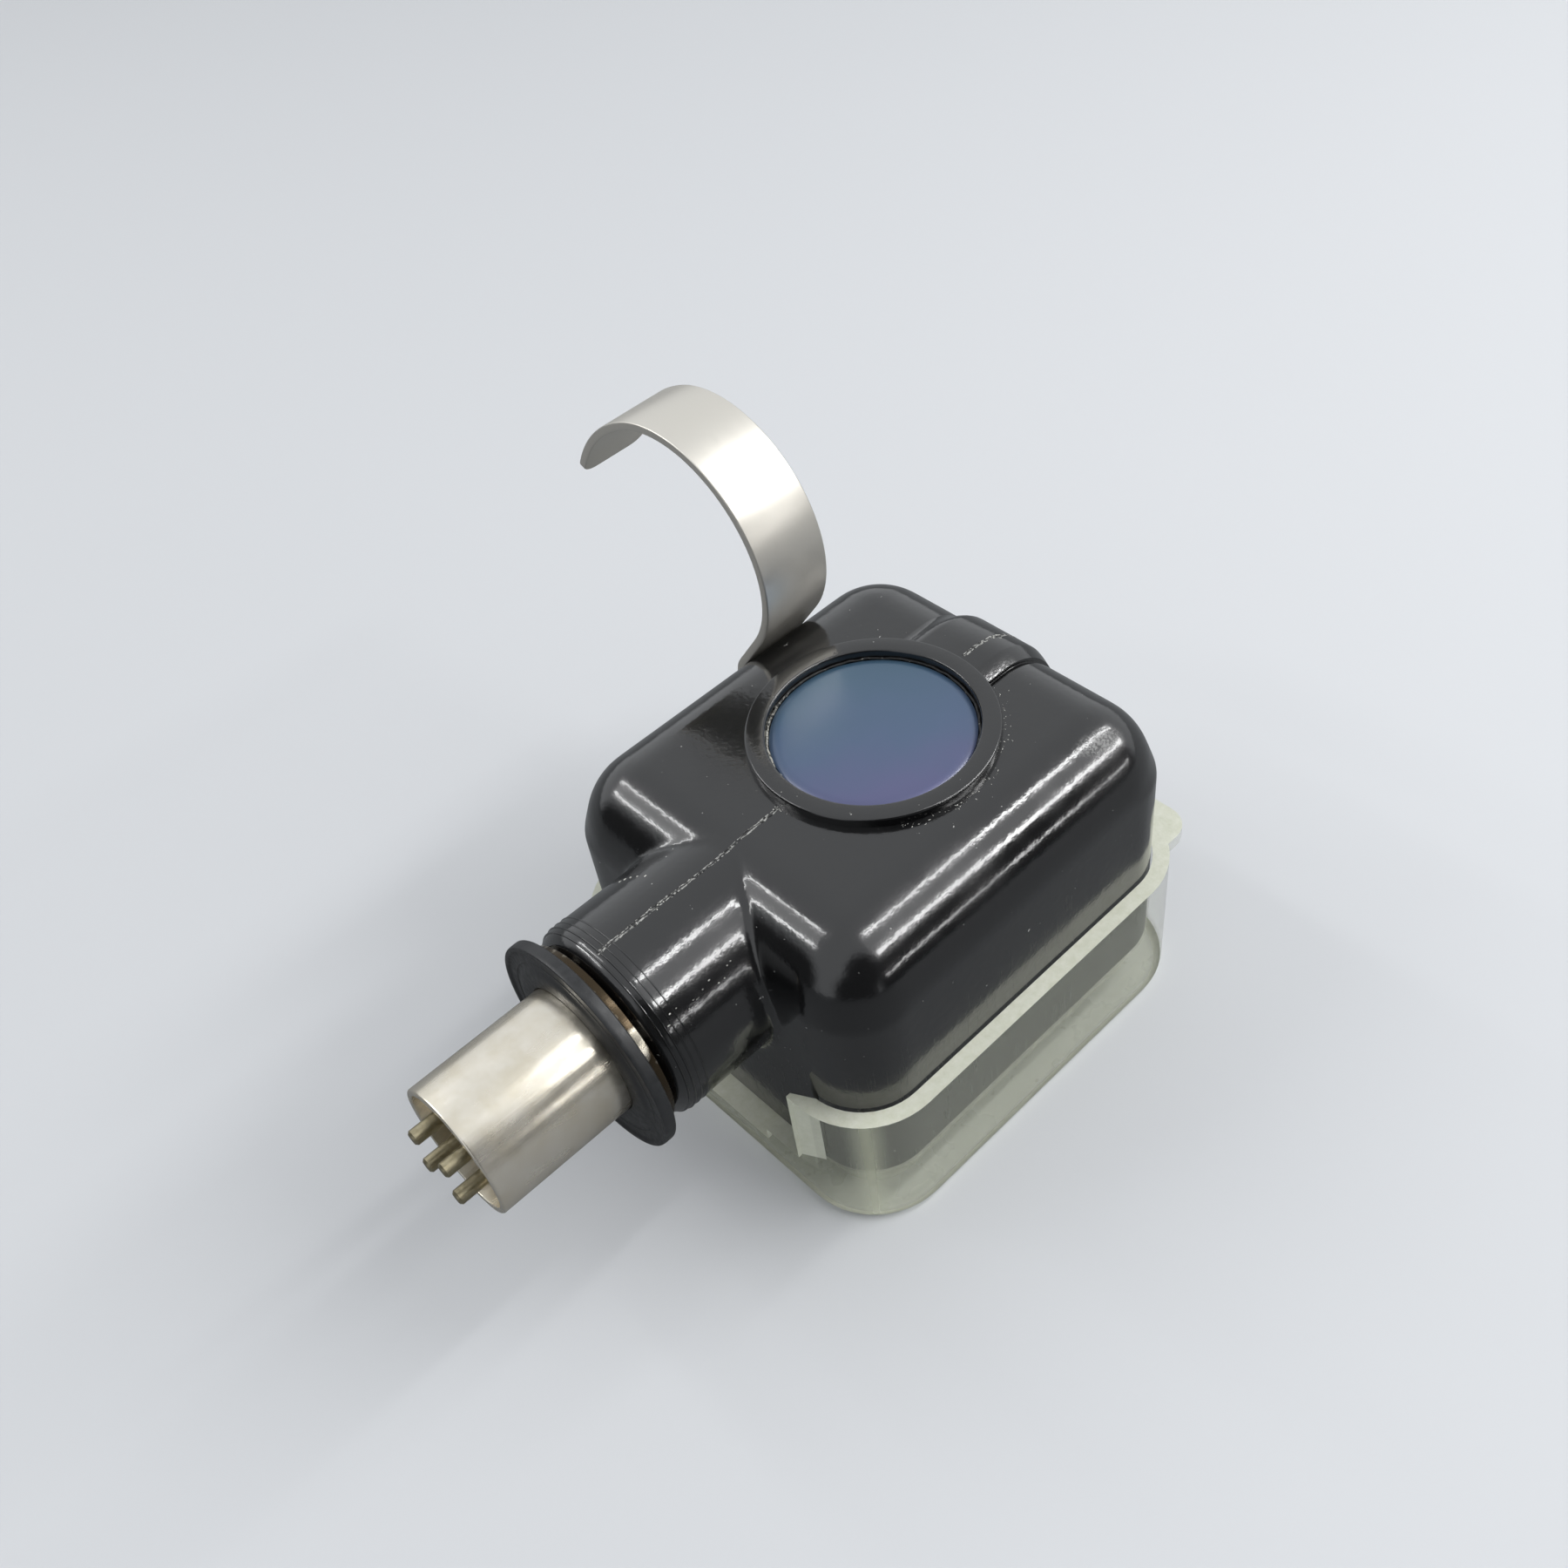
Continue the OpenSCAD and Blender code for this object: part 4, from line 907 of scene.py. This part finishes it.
def makeFlakesAndGlints(dice):
    bpy.ops.mesh.primitive_ico_sphere_add(subdivisions=1, radius=mm, location=(0, 0, 0))
    first = newest("mouldFlakesAndGlints")
    crumbs = []

    def drop(x, y, size, **shape):
        crumbs.append(addCrumb(first, (x, y, topOf(x, y) - size * flakesAndGlints["sink"]), size, dice, **shape))

    for i in range(flakesAndGlints["line"]):
        x, aside = dice.uniform(*flakesAndGlints["lineReach"]), dice.uniform(-seam["gap"], seam["gap"])
        drop(x, seam["y"] + aside, dice.uniform(*flakesAndGlints["lineSize"]))
    for x, y, count, reach, size in flakesAndGlints["clusters"]:
        for i in range(count):
            along, aside = dice.uniform(-1, 1) * reach * 1.6, dice.uniform(-1, 1) * reach
            drop(x + along, y + aside, dice.uniform(0.5, 1) * size)
    drop(*flakesAndGlints["chip"], stretch=(2.2, 1.0, 0.4), turned=False)
    for i in range(flakesAndGlints["ring"]):
        turn = math.radians(dice.uniform(*flakesAndGlints["ringTurn"]))
        reach = ring["outer"] + flakesAndGlints["ringGap"] + abs(dice.gauss(0, flakesAndGlints["ringSpread"]))
        drop(ringX + reach * math.cos(turn), reach * math.sin(turn), dice.uniform(*flakesAndGlints["ringSize"]),
             stretch=(2.4, 0.7, 0.5))
    # The neck's row of nicks is pale: painted glints where its highlight catches them
    for i in range(flakesAndGlints["neck"]):
        turn = math.radians(dice.uniform(*flakesAndGlints["neckTurn"]))
        x = flakesAndGlints["neckStart"] + flakesAndGlints["neckLength"] * (i + dice.random()) / flakesAndGlints["neck"]
        drop(x, -shell["neckRadius"] * math.sin(turn), dice.uniform(*flakesAndGlints["neckSize"]),
             stretch=(1.8, 0.8, 0.6), turned=False)
    x, y, size = flakesAndGlints["curl"]
    for t in range(5):
        drop(x + 0.22 * t, y - 0.12 * t - 0.05 * t * t, size, stretch=(1.4, 1.0, 1.0), turned=False)
    bpy.data.objects.remove(first)
    return joinInto(crumbs[0], crumbs[1:])


# Fine turned ridges on the neck's end, beside the washer
ridges = {"places": (10.7, 11.05, 11.45, 11.9), "thick": 0.055, "sink": 0.02}


def makeNeckRidges():
    rings, edge = [], shell["neckEdge"]
    for x in ridges["places"]:
        inCurve = max(0, shellLow.x + edge - x)
        radius = shell["neckRadius"] - edge + math.sqrt(edge ** 2 - inCurve ** 2)
        bpy.ops.mesh.primitive_torus_add(location=spot(x, 0, 0), rotation=(0, math.pi / 2, 0),
                                         major_radius=(radius - ridges["sink"]) * mm, major_segments=128,
                                         minor_radius=ridges["thick"] * mm, minor_segments=8)
        rings.append(bpy.context.object)
        applyPlace(rings[-1])
    piece = joinInto(rings[0], rings[1:])
    piece.name = "neckRidges"
    smooth(piece, 60)
    return piece


dice = random.Random(7)
depsgraph = bpy.context.evaluated_depsgraph_get()
for skin in (shellBody, badgeRing, frontRib):
    blackSkins.append(BVHTree.FromObject(skin, depsgraph))
# Pale crumbs for the real chips and dirt, and for the painted glints on the neck
crumbAndGlintFinish = paleCrumbs("brokenPhenolicAndGlints", "#2a2a2a", "#d0cfc8", 0.42)
partingLine = makePartingLine(dice)
place(partingLine, "housing", "shell_black", paleCrumbs("scrapedFlash", "#0c0c0c", "#b0b0ac", 0.5, 0.16))
mouldFlakesAndGlints = makeFlakesAndGlints(dice)
place(mouldFlakesAndGlints, "housing", "shell_black", crumbAndGlintFinish)
place(makeNeckRidges(), "housing", "shell_black", phenolic)
print("parting line and flakes:", len(partingLine.data.polygons), len(mouldFlakesAndGlints.data.polygons), "faces")


# Stylus guard: a moulded clear box, open above, with a notch for the neck and a fingertip lip
guard = {"wall": 1.0, "fit": 0.12, "corner": 5.02, "foot": 0.8, "floor": 1.0, "ledge": 0.9,
         "ledgeTop": -11.83, "notch": 7.3, "sill": 2.5, "haunch": 2.8, "haunchRise": 1.1, "taper": 1.3,
         "edge": 0.25, "lip": 0.9, "lipReach": 1.1, "lipHalf": 11.75, "lipCorner": 1.6, "round": 0.12,
         "frostReach": 0.13}


def addRoundedPrism(name, low, high, corner, segments=12):
    prism = addBlock(name, low, high)
    pickEdges(prism, lambda middle, way: abs(way.z) > 0.9)
    bevelPicked(corner, segments)
    return prism


def makeStylusGuard():
    low, high, corner, inset = guardLow, guardHigh, guard["corner"], guard["wall"]
    frontWall, above = high.x - guard["lipReach"], high.z + 1
    outer = addRoundedPrism("stylusGuard", low, (frontWall, high.y, high.z), corner)
    pickEdges(outer, lambda middle, way: middle.z < low.z + 0.01)
    bevelPicked(guard["foot"], 4)
    lip = addRoundedPrism("lip", (frontWall - 4, -guard["lipHalf"], high.z - guard["lip"]),
                          (high.x, guard["lipHalf"], high.z), guard["lipCorner"], 6)
    combine(outer, lip, "UNION")
    combine(outer, addRoundedPrism("seat", (low.x + inset, low.y + inset, guard["ledgeTop"]),
                                   (frontWall - inset, high.y - inset, above), corner - inset))
    inset += guard["fit"] + guard["ledge"]
    combine(outer, addRoundedPrism("well", (low.x + inset, low.y + inset, low.z + guard["floor"]),
                                   (frontWall - inset, high.y - inset, high.z), corner - inset))
    sill, reach, notch, taper = low.z + guard["sill"], low.x + inset + 0.02, guard["notch"], guard["taper"]
    haunch, inner = sill + guard["haunchRise"], notch - guard["haunch"]
    combine(outer, addBlock("notch", (low.x - 1, -notch, haunch), (reach, notch, above)))
    combine(outer, addBlock("dip", (low.x - 1, -inner, sill), (reach, inner, above)))
    # Inside, the wall thins towards each edge of the notch
    for side in (-1, 1):
        outline = [(low.x + guard["edge"], side * (notch - 0.1)), (reach + 0.5, side * (notch - 0.1)),
                   (reach + 0.5, side * (notch + taper + 0.6)),
                   (low.x + guard["wall"], side * (notch + taper))]
        combine(outer, addPrism("thinning", outline, haunch, above))
    applyModifier(outer, "BEVEL", width=guard["round"] * mm, segments=2, limit_method="ANGLE",
                  angle_limit=math.radians(50))
    smooth(outer, 35)
    return outer


# Frost on what was trimmed or rubbed: the rim, the sides of the notch and its thinned edges, the top of
# its sill, and the foot's edge
def frostRim(piece):
    piece.data.materials.append(frostedRim())
    near, notch, sill = guard["frostReach"], guard["notch"], guardLow.z + guard["sill"]
    for face in piece.data.polygons:
        middle, normal = face.center / mm, face.normal
        behind, beside = middle.x - guardLow.x, abs(middle.y) - notch
        onRim = middle.z > guardHigh.z - near and normal.z > 0.2
        onFoot = middle.z < guardLow.z + guard["foot"] and -0.93 < normal.z < -0.45
        inNotch = behind < 1.2 and beside < near and abs(normal.x) < 0.75
        onTaper = 0.2 < behind < 1.05 and 0.3 < normal.x < 0.95 and -0.1 < beside < guard["taper"] + 0.1
        if onRim or onFoot or ((inNotch or onTaper) and middle.z > sill - near):
            face.material_index = 1


stylusGuard = makeStylusGuard()
place(stylusGuard, "guard", "guard_clear", agedPolystyrene(), "stylus_guard")
frostRim(stylusGuard)
print("guard:", len(stylusGuard.data.polygons), "faces")


# Finishes of the pieces that keep their frame meshes
finishes = {
    "finger_lift_screw": brushedNickel("screwNickel", "#bdb9b0", 0.25, 0.4),
    "locating_pin": wornPins(),
    "pin_insulator": plainFinish("greyedInsulator", "#b9bab0", "#d2d2c8", 0.5),
    "terminal_strip": plainFinish("boardLaminate", "#3a2416", "#4c3020", 0.5),
    "terminal_pins": plainFinish("goldPlate", "#c79a4a", "#d9b566", 0.25, 0.3, 1.0),
    "mounting_plate": plainFinish("sawnBrass", "#a98444", "#c09c58", 0.35, 0.5, 1.0),
    "mounting_screws": brushedNickel("screwPlate", "#b7b3aa", 0.25, 0.4),
    "magnet": plainFinish("castMagnet", "#3f4043", "#55565a", 0.5, 0.3, 0.7),
    "rear_yoke": plainFinish("groundYoke", "#85847f", "#9d9c96", 0.35, 0.3, 1.0),
    "front_pole": plainFinish("groundPole", "#8c8b86", "#a5a49e", 0.32, 0.3, 1.0),
    "rear_pole": plainFinish("turnedPole", "#8f8e89", "#a8a7a1", 0.3, 0.3, 1.0),
    "clamp_screw": plainFinish("blackenedSteel", "#1b1b1c", "#2b2b2d", 0.4, 0.3, 0.8),
    "tie_wire": plainFinish("springWire", "#b8b7b2", "#cfcec9", 0.25, 0.2, 1.0),
    "damper_ring": plainFinish("damperRubber", "#241a15", "#332720", 0.6),
    "armature": plainFinish("lacqueredIron", "#5b4f44", "#6d6054", 0.4, 0.2, 0.6),
    "coil_left": plainFinish("enamelledCopper", "#8c4a22", "#a65d2e", 0.35, 0.08, 0.8),
    "coil_right": plainFinish("enamelledCopperDark", "#7f4220", "#9a552a", 0.35, 0.08, 0.8),
    "cantilever": plainFinish("drawnAluminium", "#b9babd", "#d0d1d3", 0.28, 0.2, 1.0),
    "stylus_tip": plainFinish("polishedDiamond", "#c4d0dc", "#dfe8f0", 0.08, 0.2),
    "underside_cover": plainFinish("coverPlastic", "#0e0e0f", "#161618", 0.45),
    "cover_screws": brushedNickel("coverScrewPlate", "#b3afa6", 0.25, 0.42),
}
pinFinish = wornPins()
for name in nodes:
    if name.startswith("contact_pin"):
        finishes[name] = pinFinish
for name, finish, colour, second in (("lead_left_hot", "whiteSleeve", "#dcdad2", "#c9c7bd"),
                                     ("lead_left_return", "blueSleeve", "#234a9c", "#2f58ab"),
                                     ("lead_right_hot", "redSleeve", "#a3201c", "#b42c26"),
                                     ("lead_right_return", "greenSleeve", "#1f6b36", "#2a7a42")):
    finishes[name] = plainFinish(finish, colour, second, 0.4)
for name, material in finishes.items():
    nodes[name].data.materials.clear()
    nodes[name].data.materials.append(material)
print("frame pieces finished:", len(finishes))


# Studio: a plain pale floor, a pale world and soft lamps where the photograph's highlights point.
# A lamp is azimuth, elevation, then distance, width and length in metres, power and the way its length runs.
# A shade is a direction and the angles from it at which it starts and is full
studio = {"floor": "#d0d2d5", "floorMirrored": "#747678", "world": "#eef1f4", "worldShown": 0.95,
          "worldLight": 0.57, "worldShade": 0.08, "centre": (30, 0, 0), "below": 0.02,
          "shades": [((0.41, -0.87, 0.2), 40, 26), ((-0.33, -0.77, 0.52), 32, 18),
                     ((-0.6, -0.75, 0.15), 34, 20), ((-0.85, 0.5, 0.05), 36, 20)],
          "lamps": {"ceilingLamp": (-38, 47, 0.42, 0.2, 0.5, 0.18, (1, 0, 0)),
                    "upperCore": (-24, 54.5, 0.4, 0.021, 0.36, 0.46, (1, 0, 0)),
                    "lowerCore": (-49, 37, 0.4, 0.032, 0.36, 0.64, (1, 0, 0)),
                    "tubeLamp": (-65, 14, 0.42, 0.012, 0.34, 0.16, (1, 0, 0)),
                    "rearLamp": (123, 42, 0.42, 0.12, 0.26, 0.1, (0, 1, 0)),
                    "rearUpperCore": (114, 47, 0.4, 0.013, 0.26, 0.15, (0, 1, 0)),
                    "rearLowerCore": (130.5, 36, 0.4, 0.016, 0.26, 0.18, (0, 1, 0))}}


# The floor: the guard stands on it, so it stays under the guard when the cartridge is lifted out.
# It is darker where it is mirrored, as the shadowed ground close to the real one is, and clear from below
def addFloor():
    x, y = studio["centre"][:2]
    bpy.ops.mesh.primitive_plane_add(size=8, location=spot(x, y, guardLow.z - studio["below"]))
    floor = newest("floor")
    material, tree, shader, coords = newMaterial("paleFloor", studio["floor"], 0, 0.8)
    mirrored = addNode(tree, "LightPath").outputs["Is Glossy Ray"]
    tintBetween(tree, shader, mirrored, studio["floor"], studio["floorMirrored"])
    below = addNode(tree, "NewGeometry").outputs["Backfacing"]
    above = addNode(tree, "Math", {"operation": "SUBTRACT", 0: 1.0}, {1: below})
    link(tree, above, shader.inputs["Alpha"])
    floor.data.materials.append(material)
    applyPlace(floor)
    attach(floor, "guard")


# Reflections see the same pale world, darker only where the camera stood and beside the lamps
def addWorld():
    world = bpy.data.worlds.new("paleWorld")
    world.use_nodes = True
    tree = world.node_tree
    background = tree.nodes["Background"]
    background.inputs["Color"].default_value = toLinear(studio["world"])
    way = addNode(tree, "TexCoord").outputs["Generated"]
    shade = None
    for centre, outer, inner in studio["shades"]:
        near = addNode(tree, "VectorMath", {"operation": "DOT_PRODUCT", 1: Vector(centre).normalized()},
                       {0: way}).outputs["Value"]
        starts, full = math.cos(math.radians(outer)), math.cos(math.radians(inner))
        patch = addNode(tree, "MapRange", {"From Min": starts, "From Max": full,
                                           "interpolation_type": "SMOOTHSTEP"}, {"Value": near})
        if shade is not None:
            patch = addNode(tree, "Math", {"operation": "MAXIMUM"}, {0: shade, 1: patch})
        shade = patch
    mirrored = addNode(tree, "MapRange", {"To Min": studio["worldShown"], "To Max": studio["worldShade"]},
                       {"Value": shade})
    path = addNode(tree, "LightPath")
    direct = addNode(tree, "Math", {"operation": "MAXIMUM"},
                     {0: path.outputs["Is Camera Ray"], 1: path.outputs["Is Transmission Ray"]})
    level = addNode(tree, "MapRange", {"To Min": studio["worldLight"], "To Max": studio["worldShown"]},
                    {"Value": direct})
    glossy = addNode(tree, "Mix", {"data_type": "FLOAT"}, {
        0: path.outputs["Is Glossy Ray"], 2: level, 3: mirrored})
    link(tree, glossy, background.inputs["Strength"])
    bpy.context.scene.world = world


def addLamp(name, azimuth, elevation, distance, width, length, power, along):
    turn, tilt = math.radians(azimuth), math.radians(elevation)
    away = Vector((math.cos(tilt) * math.cos(turn), math.cos(tilt) * math.sin(turn), math.sin(tilt)))
    longWay = Vector(along)
    longWay = (longWay - away * longWay.dot(away)).normalized()
    lamp = bpy.data.lights.new(name, "AREA")
    lamp.shape = "RECTANGLE"
    lamp.size, lamp.size_y = width, length
    lamp.energy = power
    matrix = Matrix((longWay.cross(away), longWay, away)).transposed().to_4x4()
    matrix.translation = spot(*studio["centre"]) + away * distance
    holder = bpy.data.objects.new(name, lamp)
    holder.matrix_world = matrix
    bpy.context.scene.collection.objects.link(holder)


addFloor()
addWorld()
for name, facts in studio["lamps"].items():
    addLamp(name, *facts)
bpy.context.scene.view_settings.view_transform = "Standard"
print("studio ready")
